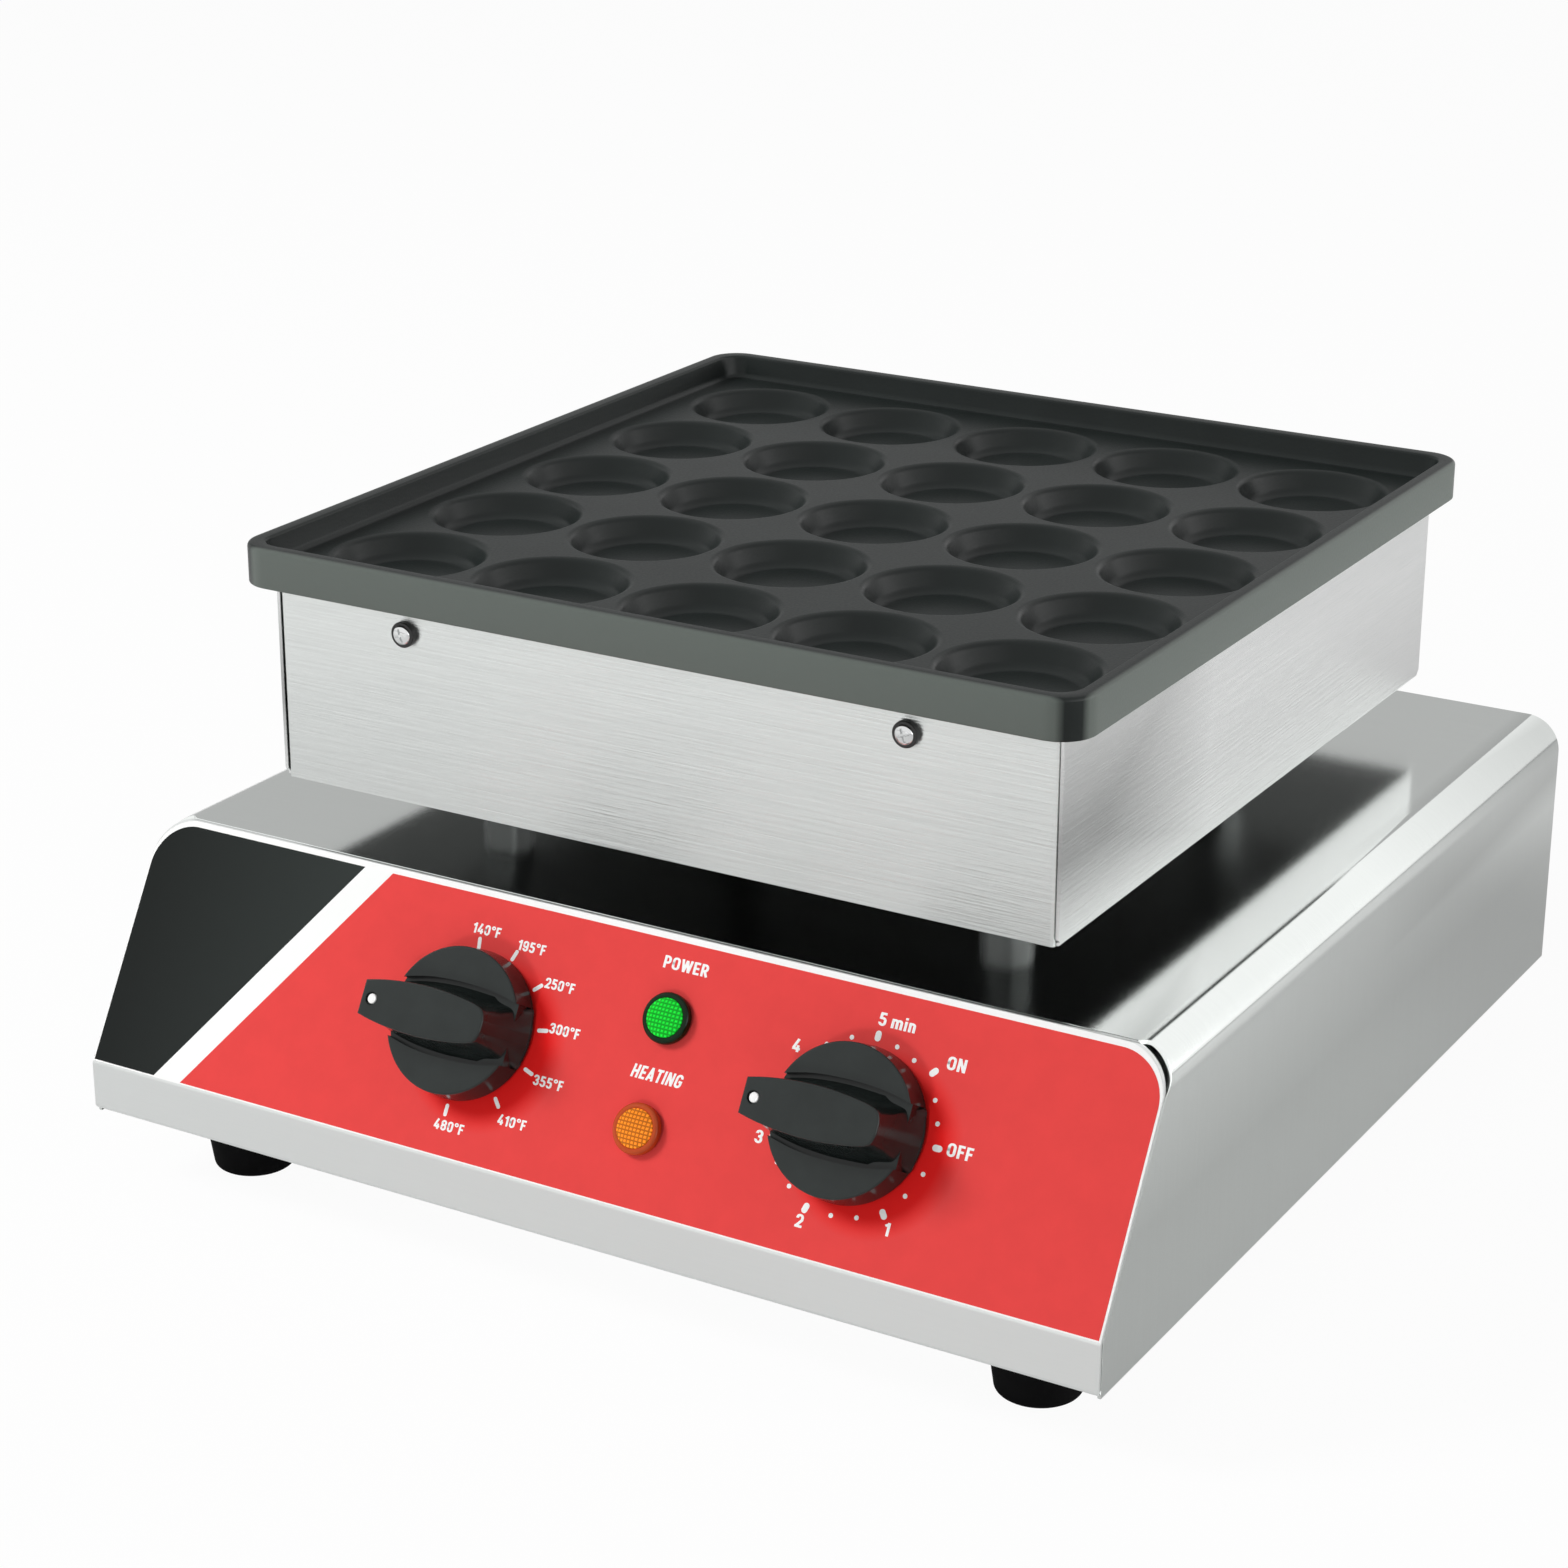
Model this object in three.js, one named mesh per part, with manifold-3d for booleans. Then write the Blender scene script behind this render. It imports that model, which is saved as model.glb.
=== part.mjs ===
// A countertop maker of small round pancakes. A cast plate with dished moulds lies on a steel box,
// and the box stands on four posts above a folded steel base with a slanted control panel.
// Millimetres, +Z up, +Y to the back, +X to the right of someone who faces the dials.
// The origin is on the table, under the middle of the whole maker.

import * as THREE from "three";
import { mergeVertices } from "three/addons/utils/BufferGeometryUtils.js";
import Module from "manifold-3d";

const wasm = await Module();
wasm.setup();

// Driving sizes. The maker is drawn over y = 0 at the middle of its base.

const overrun = 2; // how far a cutting tool reaches past the face that it opens
const seat = 0.3; // what is left between two pieces that rest on each other
const slip = 0.25; // radial room of a shank, barrel or shaft in its hole

const base = {
  width: 371,
  depth: 373.7,
  height: 92.5,
  sheet: 1.2,
  cornerRadius: 12.5,
  lipHeight: 18.2,
  setback: 43.6,
  flange: 14,
};

const panel = {
  sheet: 1.2,
  cornerRadius: 14,
  bend: 2,
  flange: 12,
  liftFromEdge: 1,
  film: 0.4,
  filmMargin: 0.9,
};

const foot = {
  height: 25.7,
  topRadius: 17.1,
  bottomRadius: 13.8,
  edge: 2.2,
  inset: 36.8,
  pocketRadius: 8,
  pocketDepth: 15,
  screwRadius: 2.5,
  headRadius: 5.5,
  headHeight: 3,
};

const bottom = {
  sheet: 1.2,
  recess: 1.2,
  flange: 12,
  ventLength: 46,
  ventWidth: 5,
  ventSpacing: 16,
  ventCount: 5,
  ventRowSpan: 150,
};

const post = {
  radius: 9,
  height: 18.2,
  sideInset: 47,
  endInset: 61.6,
  boltRadius: 5.8,
  boreRadius: 4,
  headAcrossFlats: 17,
  headHeight: 6,
  nutHeight: 6,
  boltPastNut: 3,
};

const box = {
  width: 284,
  frontToTray: 142.2,
  backToTray: 145,
  height: 67.3,
  sheet: 1.2,
  bend: 2,
  flange: 12,
  screwInset: 51.2,
  screwDrop: 9.6,
};

const domeScrew = { radius: 2.5, headRadius: 4.7, headHeight: 2.9, length: 12 };

const tray = {
  width: 302.5,
  depth: 304.5,
  setback: 10.2,
  height: 13.4,
  wall: 5.5,
  floorDrop: 8.1,
  cornerRadius: 12,
  innerCornerRadius: 8,
  footInset: 1.2,
  spigotDepth: 8,
  spigotRoom: 2,
  lugWidth: 20,
  lugDepth: 10,
  lugDrop: 9,
};

const mould = {
  spacing: 55.6,
  rows: 5,
  radius: 23.6,
  depth: 8,
  lipRound: 2.6,
  floorRound: 3.6,
  footInset: 1.4,
};

const element = {
  radius: 4,
  reach: 84,
  dropBend: 12,
  drop: 16,
  strapWidth: 14,
  strapSheet: 2.5,
  strapReach: 96,
  strapPlace: 62,
  bossRadius: 5,
  screwRadius: 2,
  screwHeadRadius: 4,
  screwHeadHeight: 2.6,
};

const sensor = {
  radius: 3,
  length: 84,
  sleeveWall: 3,
  capillaryRadius: 0.9,
  capillaryDrop: 17,
  tailReach: 9,
  tailBend: 5,
};

const cutout = { radius: 8, height: 9, earLength: 24, earWidth: 9, earSheet: 1.5, tabLength: 8 };

const knob = {
  baseRadius: 24.2,
  faceRadius: 23.6,
  clearance: 1.2,
  faceHeight: 11.1,
  height: 23.1,
  edge: 0.8,
  tipReach: 26.8,
  endReach: 19.2,
  tipHalfWidth: 5.5,
  bellyHalfWidth: 10.9,
  endHalfWidth: 4.6,
  rootHeight: 4,
  rootTipReach: 24.3,
  rootEndReach: 23.4,
  rootFlare: 4.4,
  dotPlace: 23,
  dotRadius: 1.6,
  dotPocketRadius: 2.1,
  dotPocketDepth: 1.2,
  boreDepth: 14,
  hubWall: 2.8,
  cavityRadius: 20.5,
  cavityDepth: 6,
};

const dials = { rise: 43, thermostatX: -46.9, timerX: 92.5, shaftRadius: 3, shaftHoleRadius: 5 };

const control = {
  thermostatWidth: 42,
  caseWidthShare: 0.8,
  thermostatHeight: 36,
  thermostatDepth: 32,
  timerRadius: 24,
  timerDepth: 34,
  earSheet: 1.5,
  earReach: 6,
  bushRadius: 4.6,
  shaftInBody: 9,
};

const lamp = {
  x: 22.6,
  powerRise: 60.1,
  heatingRise: 25.2,
  bezelRadius: 8.1,
  bezelHeight: 2.4,
  bezelEdge: 0.9,
  barrelRadius: 6.3,
  barrelDepth: 24,
  lensRadius: 6.5,
  lensSink: 2,
  lensCrown: 0.7,
  crownShoulderShare: 0.75,
};

const back = {
  sheet: 1.2,
  ventLength: 34,
  ventWidth: 4,
  ventSpacing: 11,
  ventCount: 8,
  ventX: -70,
  ventZ: 46,
};

const gland = {
  sideInset: 67.5,
  z: 32,
  threadRadius: 8,
  boreRadius: 4,
  flats: 22,
  hexHeight: 5,
  stubRadius: 6.6,
  stubLength: 9,
  capRadius: 9.6,
  capNose: 6.6,
  capLength: 13,
  nutHeight: 4.5,
  innerLength: 8,
};

const terminal = {
  width: 46,
  depth: 20,
  height: 18,
  sideInset: 89.5,
  gapToBack: 46,
  poleRadius: 2,
  poles: 3,
};

const lead = { radius: 1.4, sag: 16 };

// Facets of round pieces, and of bends and arcs.
const largeRoundSteps = 24;
const middleRoundSteps = 18;
const smallRoundSteps = 10;
const mouldRoundSteps = 18;
const tubeRoundSteps = 8;
const wireRoundSteps = 6;
const bendSteps = 3;
const arcSteps = 4;
const slotSteps = 3;
const wireSteps = 3;

// Shares of a screw head: the width of its flat crown, and the height of its straight side's end.
const headCrownShare = 0.7;
const headSideShare = 0.6;

// Places that follow from the sizes above.

const innerWidth = base.width - 2 * base.sheet;
const halfDepth = base.depth / 2;
const rearFlangeY = halfDepth - back.sheet - seat;
const riseOfSlant = base.height - base.lipHeight;
const slantAngle = Math.atan2(riseOfSlant, base.setback);
const slantLength = Math.hypot(riseOfSlant, base.setback);
const baseLift = foot.height - bottom.recess;
const boxFloorZ = base.height + post.height;
const trayZ = boxFloorZ + box.height;
const trayFloorZ = trayZ + tray.height - tray.floorDrop;
const spigotZ = trayZ - tray.spigotDepth;
const elementZ = spigotZ - seat - element.radius;
const strapTopZ = elementZ - element.radius - seat;
const boxMiddleY = (box.backToTray - box.frontToTray) / 2;
const boxDepth = box.frontToTray + box.backToTray;
const postSpanX = box.width - 2 * post.sideInset;
const postSpanY = boxDepth - 2 * post.endInset;
const glandX = base.width / 2 - gland.sideInset;
const terminalX = base.width / 2 - terminal.sideInset;
const spigotWidth = box.width - 2 * (box.sheet + tray.spigotRoom);
const spigotDepthY = boxDepth - 2 * (box.sheet + tray.spigotRoom);
const corners = [
  ["front_left", -1, -1],
  ["front_right", 1, -1],
  ["back_left", -1, 1],
  ["back_right", 1, 1],
];

// Materials.

function metal(name, color, roughness) {
  return new THREE.MeshStandardMaterial({ name, color, roughness, metalness: 1 });
}

function plain(name, color, roughness) {
  return new THREE.MeshStandardMaterial({ name, color, roughness, metalness: 0 });
}

const finish = {
  brushedSteel: () => metal("brushed_steel", 0xc9cbc9, 0.32),
  brightSteel: () => metal("bright_steel", 0xd4d5d6, 0.18),
  zincSteel: () => metal("zinc_steel", 0xb4b6b4, 0.4),
  nonStick: () => plain("non_stick_coating", 0x2b302e, 0.48),
  elementSteel: () => metal("element_sheath", 0x59534c, 0.5),
  copper: () => metal("copper", 0xb87850, 0.35),
  blackPlastic: () => plain("black_plastic", 0x1c1f1e, 0.3),
  whitePlastic: () => plain("white_plastic", 0xf2f2ee, 0.5),
  ceramic: () => plain("ceramic", 0xe6e0d2, 0.7),
  rubber: () => plain("black_rubber", 0x0e0e0f, 0.75),
  redFilm: () => plain("red_film", 0xe04545, 0.35),
  greenLens: () => plain("green_lens", 0x18d93a, 0.2),
  greenBezel: () => plain("green_bezel", 0x0c3018, 0.25),
  amberLens: () => plain("amber_lens", 0xe8871c, 0.25),
  amberBezel: () => plain("amber_bezel", 0xa84a14, 0.25),
  glassSleeve: () => plain("glass_fibre_sleeve", 0xd9d3c4, 0.8),
};

// Solids: joining, cutting and placing.

function solidOf(geometry) {
  const loose = geometry.index ? geometry.toNonIndexed() : geometry;
  const bare = new THREE.BufferGeometry();
  bare.setAttribute("position", loose.getAttribute("position"));
  const merged = mergeVertices(bare, 1e-4);
  return new wasm.Manifold(
    new wasm.Mesh({
      numProp: 3,
      vertProperties: merged.getAttribute("position").array,
      triVerts: new Uint32Array(merged.index.array),
    }),
  );
}

function geometryOf(solid) {
  const { vertProperties, triVerts } = solid.getMesh();
  const geometry = new THREE.BufferGeometry();
  geometry.setAttribute("position", new THREE.BufferAttribute(vertProperties, 3));
  geometry.setIndex(new THREE.BufferAttribute(triVerts, 1));
  return geometry;
}

function joined(...geometries) {
  return geometryOf(geometries.map(solidOf).reduce((whole, next) => whole.add(next)));
}

function cut(body, ...tools) {
  return geometryOf(tools.map(solidOf).reduce((left, tool) => left.subtract(tool), solidOf(body)));
}

function kept(body, tool) {
  return geometryOf(solidOf(body).intersect(solidOf(tool)));
}

function moved(geometry, x, y, z) {
  return geometry.clone().translate(x, y, z);
}

// A flat outline in x and y, drawn up from z = 0.
function prism(shape, height, curveSegments = arcSteps) {
  return new THREE.ExtrudeGeometry(shape, {
    depth: height,
    bevelEnabled: false,
    steps: 1,
    curveSegments,
  });
}

// An outline in x and z, drawn along y from front to back.
function prismAlongY(shape, front, rear) {
  return prism(shape, rear - front).rotateX(Math.PI / 2).translate(0, rear, 0);
}

// An outline in y and z, drawn along x and centred on x = 0.
function prismAlongX(shape, width) {
  const turn = new THREE.Matrix4().makeBasis(
    new THREE.Vector3(0, 1, 0),
    new THREE.Vector3(0, 0, 1),
    new THREE.Vector3(1, 0, 0),
  );
  return prism(shape, width).applyMatrix4(turn).translate(-width / 2, 0, 0);
}

function block(width, depth, height) {
  return new THREE.BoxGeometry(width, depth, height).translate(0, 0, height / 2);
}

// A round bar from z = 0 up, straight or tapered.
function bar(radius, height, sides = middleRoundSteps, topRadius = radius) {
  return new THREE.CylinderGeometry(topRadius, radius, height, sides)
    .rotateX(Math.PI / 2)
    .translate(0, 0, height / 2);
}

// A turned piece. Its profile is a list of [radius, height] that starts and ends on the axis,
// or closes on itself, with the solid on its left.
function turned(profile, sides = middleRoundSteps) {
  const points = profile.map(([radius, height]) => new THREE.Vector2(radius, height));
  return new THREE.LatheGeometry(points, sides).rotateX(Math.PI / 2);
}

function hexagon(acrossFlats, height) {
  const corner = acrossFlats / 2 / Math.cos(Math.PI / 6);
  return bar(corner, height, 6);
}

function roundedRectangle(width, depth, radius) {
  const shape = new THREE.Shape();
  const x = width / 2;
  const y = depth / 2;
  shape.moveTo(-x + radius, -y);
  shape.absarc(x - radius, -y + radius, radius, -Math.PI / 2, 0);
  shape.absarc(x - radius, y - radius, radius, 0, Math.PI / 2);
  shape.absarc(-x + radius, y - radius, radius, Math.PI / 2, Math.PI);
  shape.absarc(-x + radius, -y + radius, radius, Math.PI, 1.5 * Math.PI);
  return shape;
}

function slot(length, width) {
  const shape = new THREE.Shape();
  const half = (length - width) / 2;
  shape.absarc(0, half, width / 2, 0, Math.PI);
  shape.absarc(0, -half, width / 2, Math.PI, 2 * Math.PI);
  return shape;
}

// The outline of a folded sheet. The line is a list of [across, up, bend radius] along one face,
// and the other face lies one thickness to the right of the way that the line runs.
function foldedSheet(line, thickness) {
  const near = [];
  const far = [];
  const place = (index) => new THREE.Vector2(line[index][0], line[index][1]);
  const side = (from, to) => {
    const way = to.clone().sub(from).normalize();
    return new THREE.Vector2(way.y, -way.x);
  };
  const put = (point, normal) => {
    near.push(point);
    far.push(point.clone().addScaledVector(normal, thickness));
  };
  line.forEach((entry, index) => {
    const here = place(index);
    if (index === 0) return put(here, side(here, place(index + 1)));
    if (index === line.length - 1) return put(here, side(place(index - 1), here));
    const before = side(place(index - 1), here);
    const after = side(here, place(index + 1));
    const turn = Math.atan2(before.cross(after), before.dot(after));
    const radius = entry[2];
    const towards = -Math.sign(turn);
    const back = radius * Math.tan(Math.abs(turn) / 2);
    const way = new THREE.Vector2(-before.y, before.x);
    const centre = here.clone().addScaledVector(way, -back).addScaledVector(before, towards * radius);
    for (let step = 0; step <= bendSteps; step++) {
      const normal = before.clone().rotateAround(new THREE.Vector2(), (turn * step) / bendSteps);
      put(centre.clone().addScaledVector(normal, -towards * radius), normal);
    }
  });
  return new THREE.Shape([...near, ...far.reverse()]);
}

// A closed tube along a list of points, with a ring at each. Its first ring is squared to z, unless
// it starts nearly upright.
const nearlyUpright = 0.9;


function tube(points, radius, sides) {
  const positions = [];
  const faces = [];
  const ways = points.map((point, index) => {
    const from = points[Math.max(index - 1, 0)];
    const to = points[Math.min(index + 1, points.length - 1)];
    return to.clone().sub(from).normalize();
  });
  const upright = Math.abs(ways[0].z) > nearlyUpright;
  const square = upright ? new THREE.Vector3(1, 0, 0) : new THREE.Vector3(0, 0, 1);
  const normal = square.cross(ways[0]).normalize();
  points.forEach((point, index) => {
    normal.addScaledVector(ways[index], -normal.dot(ways[index])).normalize();
    const other = ways[index].clone().cross(normal);
    for (let side = 0; side < sides; side++) {
      const angle = (2 * Math.PI * side) / sides;
      const spot = point.clone();
      spot.addScaledVector(normal, radius * Math.cos(angle));
      spot.addScaledVector(other, radius * Math.sin(angle));
      positions.push(...spot.toArray());
    }
  });
  for (let ring = 0; ring + 1 < points.length; ring++) {
    for (let side = 0; side < sides; side++) {
      const a = ring * sides + side;
      const b = ring * sides + ((side + 1) % sides);
      faces.push(a, b, b + sides, a, b + sides, a + sides);
    }
  }
  const last = (points.length - 1) * sides;
  for (let side = 1; side + 1 < sides; side++) {
    faces.push(0, side + 1, side);
    faces.push(last, last + side, last + side + 1);
  }
  const geometry = new THREE.BufferGeometry();
  geometry.setAttribute("position", new THREE.Float32BufferAttribute(positions, 3));
  geometry.setIndex(faces);
  return geometry;
}

// A solid through flat outlines that lie one above the other and have as many points each.
function loft(sections) {
  const count = sections[0].outline.length;
  const positions = sections.flatMap(({ z, outline }) => outline.flatMap(({ x, y }) => [x, y, z]));
  const faces = [];
  for (let ring = 0; ring + 1 < sections.length; ring++) {
    for (let side = 0; side < count; side++) {
      const a = ring * count + side;
      const b = ring * count + ((side + 1) % count);
      faces.push(a, b, b + count, a, b + count, a + count);
    }
  }
  const top = (sections.length - 1) * count;
  THREE.ShapeUtils.triangulateShape(sections[0].outline, []).forEach(([a, b, c]) => {
    faces.push(a, c, b);
  });
  THREE.ShapeUtils.triangulateShape(sections.at(-1).outline, []).forEach(([a, b, c]) => {
    faces.push(top + a, top + b, top + c);
  });
  const geometry = new THREE.BufferGeometry();
  geometry.setAttribute("position", new THREE.Float32BufferAttribute(positions, 3));
  geometry.setIndex(faces);
  return geometry;
}

function piece(name, geometry, material, x = 0, y = 0, z = 0) {
  const mesh = new THREE.Mesh(geometry, material);
  mesh.name = name;
  mesh.geometry.computeVertexNormals();
  mesh.position.set(x, y, z);
  return mesh;
}

// Points along straight runs with round bends: each entry is [x, y, z, bend radius].
function route(entries, steps = wireSteps) {
  const points = [];
  entries.forEach(([x, y, z, radius], index) => {
    const here = new THREE.Vector3(x, y, z);
    if (!radius) return points.push(here);
    const before = new THREE.Vector3(...entries[index - 1].slice(0, 3)).sub(here).normalize();
    const after = new THREE.Vector3(...entries[index + 1].slice(0, 3)).sub(here).normalize();
    const half = before.angleTo(after) / 2;
    const reach = radius / Math.tan(half);
    const middle = before.clone().add(after).normalize();
    const centre = here.clone().addScaledVector(middle, radius / Math.sin(half));
    const start = here.clone().addScaledVector(before, reach).sub(centre);
    const axis = before.clone().cross(after).normalize();
    const sweep = 2 * half - Math.PI;
    for (let step = 0; step <= steps; step++) {
      const spoke = start.clone().applyAxisAngle(axis, (sweep * step) / steps);
      points.push(centre.clone().add(spoke));
    }
  });
  return points;
}

// The cast plate: a shallow tray with a rim, a spigot that drops into the box, lugs for the
// screws of the box, and the moulds.

// A round dish: a flat floor, a rounded corner, a drafted wall and a rounded lip.
function mouldHollow() {
  const { radius, depth, lipRound, floorRound, footInset } = mould;
  const foot = radius - footInset;
  const lip = radius + lipRound;
  return turned(
    [
      [0, -depth],
      [foot - floorRound, -depth],
      [foot, floorRound - depth],
      [radius, -lipRound],
      [radius + lipRound * (1 - Math.SQRT1_2), -lipRound * (1 - Math.SQRT1_2)],
      [lip, 0],
      [lip, overrun],
      [0, overrun],
    ],
    mouldRoundSteps,
  );
}

function mouldPlaces() {
  const first = (-(mould.rows - 1) / 2) * mould.spacing;
  const places = [];
  for (let row = 0; row < mould.rows; row++) {
    for (let column = 0; column < mould.rows; column++) {
      places.push([first + column * mould.spacing, first + row * mould.spacing]);
    }
  }
  return places;
}

function lugPlaces() {
  const x = box.width / 2 - box.screwInset;
  return [
    [-x, -1],
    [x, -1],
    [-x, 1],
    [x, 1],
  ];
}

function spigotFace(side) {
  return boxMiddleY + (side * spigotDepthY) / 2;
}

function bakingPlate() {
  const rimZ = trayZ + tray.height;
  const slab = prism(roundedRectangle(tray.width, tray.depth, tray.cornerRadius), tray.height);
  const innerWidthOfTray = tray.width - 2 * tray.wall;
  const innerDepthOfTray = tray.depth - 2 * tray.wall;
  const steps = 8;
  const outlineAt = (shrink) => {
    const width = innerWidthOfTray - 2 * shrink;
    const depth = innerDepthOfTray - 2 * shrink;
    return roundedRectangle(width, depth, tray.innerCornerRadius - shrink).getPoints(steps).slice(0, -1);
  };
  const spread = (tray.footInset * overrun) / tray.floorDrop;
  const hollow = loft([
    { z: trayFloorZ, outline: outlineAt(tray.footInset) },
    { z: rimZ + overrun, outline: outlineAt(-spread) },
  ]);
  const spigot = block(spigotWidth, spigotDepthY, tray.spigotDepth + tray.height / 4);
  const lugBlock = block(tray.lugWidth, tray.lugDepth, tray.lugDrop + tray.spigotDepth / 2);
  const lugs = lugPlaces().map(([x, side]) => {
    const y = spigotFace(side) - (side * tray.lugDepth) / 2;
    return moved(lugBlock, x, y, spigotZ - tray.lugDrop);
  });
  const sleeveRadius = sensor.radius + seat + sensor.sleeveWall;
  const sleeve = prismAlongY(
    roundedRectangle(2 * sleeveRadius, 2 * sleeveRadius, sensor.sleeveWall),
    -sensor.length / 2,
    sensor.length / 2 - sensor.sleeveWall,
  );
  const sleeveZ = spigotZ - sleeveRadius + sensor.sleeveWall;
  const bossHeight = spigotZ - strapTopZ - seat;
  const bosses = [-1, 1].map((side) =>
    moved(bar(element.bossRadius, bossHeight + tray.spigotDepth / 2, smallRoundSteps), 0,
      side * element.strapPlace, spigotZ - bossHeight),
  );
  const body = joined(
    moved(slab, 0, 0, trayZ),
    moved(spigot, 0, boxMiddleY, spigotZ),
    moved(sleeve, 0, 0, sleeveZ),
    ...lugs,
    ...bosses,
  );
  const screwHoles = lugPlaces().map(([x, side]) => {
    const y = spigotFace(side);
    const hole = bar(domeScrew.radius + slip, domeScrew.length + overrun, smallRoundSteps);
    const turnedHole = hole.rotateX((side * Math.PI) / 2);
    return moved(turnedHole, x, y + side * overrun, trayZ - box.screwDrop);
  });
  const sensorHole = prismAlongY(
    new THREE.Shape().absarc(0, 0, sensor.radius + seat, 0, 2 * Math.PI),
    -sensor.length / 2 + sensor.sleeveWall,
    sensor.length / 2,
  );
  const strapHoles = [-1, 1].map((side) =>
    moved(bar(element.screwRadius + slip, bossHeight + overrun, smallRoundSteps), 0,
      side * element.strapPlace, spigotZ - bossHeight - overrun),
  );
  const moulds = mouldPlaces().map(([x, y]) => moved(mouldHollow(), x, y, trayFloorZ));
  return cut(body, hollow, ...moulds, ...screwHoles, moved(sensorHole, 0, 0, sleeveZ), ...strapHoles);
}

// The tubular element lies in four runs under the gaps between the moulds, and its ends turn down.

function heatingElement() {
  const inner = mould.spacing / 2;
  const outer = 1.5 * mould.spacing;
  const front = -element.reach;
  const rear = element.reach;
  const low = elementZ - element.drop;
  const points = route([
    [-outer, front, low, 0],
    [-outer, front, elementZ, element.dropBend],
    [-outer, rear + inner, elementZ, inner],
    [-inner, rear + inner, elementZ, inner],
    [-inner, front - inner, elementZ, inner],
    [inner, front - inner, elementZ, inner],
    [inner, rear + inner, elementZ, inner],
    [outer, rear + inner, elementZ, inner],
    [outer, front, elementZ, element.dropBend],
    [outer, front, low, 0],
  ], arcSteps);
  return tube(points, element.radius, tubeRoundSteps);
}

function elementStrap() {
  const strip = block(2 * element.strapReach, element.strapWidth, element.strapSheet);
  const hole = bar(element.screwRadius + slip, element.strapSheet + 2 * overrun, smallRoundSteps);
  return cut(strip, moved(hole, 0, 0, -overrun));
}

function strapScrew() {
  const shank = element.strapSheet + (spigotZ - strapTopZ) - seat;
  return turned(
    [
      [0, -element.screwHeadHeight],
      [element.screwHeadRadius * headCrownShare, -element.screwHeadHeight],
      [element.screwHeadRadius, -element.screwHeadHeight * headSideShare],
      [element.screwHeadRadius, 0],
      [element.screwRadius, 0],
      [element.screwRadius, shank],
      [0, shank],
    ],
    smallRoundSteps,
  );
}

function overheatCutout() {
  const ears = block(cutout.earLength, cutout.earWidth, cutout.earSheet);
  const body = bar(cutout.radius, cutout.height, middleRoundSteps);
  const tab = block(cutout.earSheet, cutout.earWidth / 2, cutout.tabLength + overrun);
  return joined(
    moved(ears, 0, 0, -cutout.earSheet),
    moved(body, 0, 0, -cutout.height),
    moved(tab, -cutout.radius / 2, 0, -cutout.height - cutout.tabLength),
    moved(tab, cutout.radius / 2, 0, -cutout.height - cutout.tabLength),
  );
}

// The sheet box under the plate: a U of two walls and a floor, closed by a front and a rear sheet.

function boxShell() {
  const half = box.width / 2;
  const outline = foldedSheet(
    [
      [-half, trayZ, 0],
      [-half, boxFloorZ, box.bend],
      [half, boxFloorZ, box.bend],
      [half, trayZ, 0],
    ],
    -box.sheet,
  );
  const shell = prismAlongY(outline, -box.frontToTray, box.backToTray);
  const holes = corners.map(([, sideX, sideY]) =>
    moved(
      bar(post.boltRadius + slip, box.sheet + 2 * overrun, smallRoundSteps),
      (sideX * postSpanX) / 2,
      (sideY * postSpanY) / 2,
      boxFloorZ - overrun,
    ),
  );
  return cut(shell, ...holes);
}

function boxEndPanel(side) {
  const half = box.width / 2 - box.sheet - seat;
  const outline = foldedSheet(
    [
      [half, box.flange, 0],
      [half, 0, box.bend],
      [-half, 0, box.bend],
      [-half, box.flange, 0],
    ],
    box.sheet,
  );
  const panelBottom = boxFloorZ + box.sheet + seat;
  const sheet = prism(outline, trayZ - panelBottom);
  const faceY = side < 0 ? -box.frontToTray : box.backToTray;
  const standing = side < 0 ? sheet : sheet.rotateZ(Math.PI);
  const holes = lugPlaces()
    .filter(([, holeSide]) => holeSide === side)
    .map(([x]) => {
      const hole = bar(domeScrew.radius + slip, box.sheet + 2 * overrun, smallRoundSteps);
      hole.translate(0, 0, -overrun - box.sheet / 2).rotateX(Math.PI / 2);
      return moved(hole, x, faceY - (side * box.sheet) / 2, trayZ - box.screwDrop);
    });
  return cut(moved(standing, 0, faceY, panelBottom), ...holes);
}

// A round-headed screw whose head looks along -z and whose shank runs up.
function domeHeadScrew() {
  const { radius, headRadius, headHeight, length } = domeScrew;
  const profile = [[0, -headHeight]];
  for (let step = 1; step <= bendSteps; step++) {
    const angle = (Math.PI / 2) * (step / bendSteps);
    profile.push([headRadius * Math.sin(angle), -headHeight * Math.cos(angle)]);
  }
  profile.push([radius, 0], [radius, length], [0, length]);
  return turned(profile, smallRoundSteps);
}

// The hollow bolts that clamp the box, the posts and the base top carry the leads.

function postSleeve() {
  const { radius, boltRadius, height } = post;
  return cut(
    bar(radius, height, middleRoundSteps),
    moved(bar(boltRadius + slip, height + 2 * overrun, smallRoundSteps), 0, 0, -overrun),
  );
}

function postBolt() {
  const drop = box.sheet + post.height + base.sheet + post.nutHeight + post.boltPastNut;
  const shank = bar(post.boltRadius, drop + post.headHeight / 2, smallRoundSteps);
  const head = hexagon(post.headAcrossFlats, post.headHeight);
  const bore = bar(post.boreRadius, drop + post.headHeight + 2 * overrun, smallRoundSteps);
  return cut(joined(moved(shank, 0, 0, -drop), head), moved(bore, 0, 0, -drop - overrun));
}

function postNut() {
  const hole = bar(post.boltRadius + slip, post.nutHeight + 2 * overrun, smallRoundSteps);
  return cut(hexagon(post.headAcrossFlats, post.nutHeight), moved(hole, 0, 0, -overrun));
}

// The base: a folded cover cut to the slant, a front panel, a back panel and a bottom plate.

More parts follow.
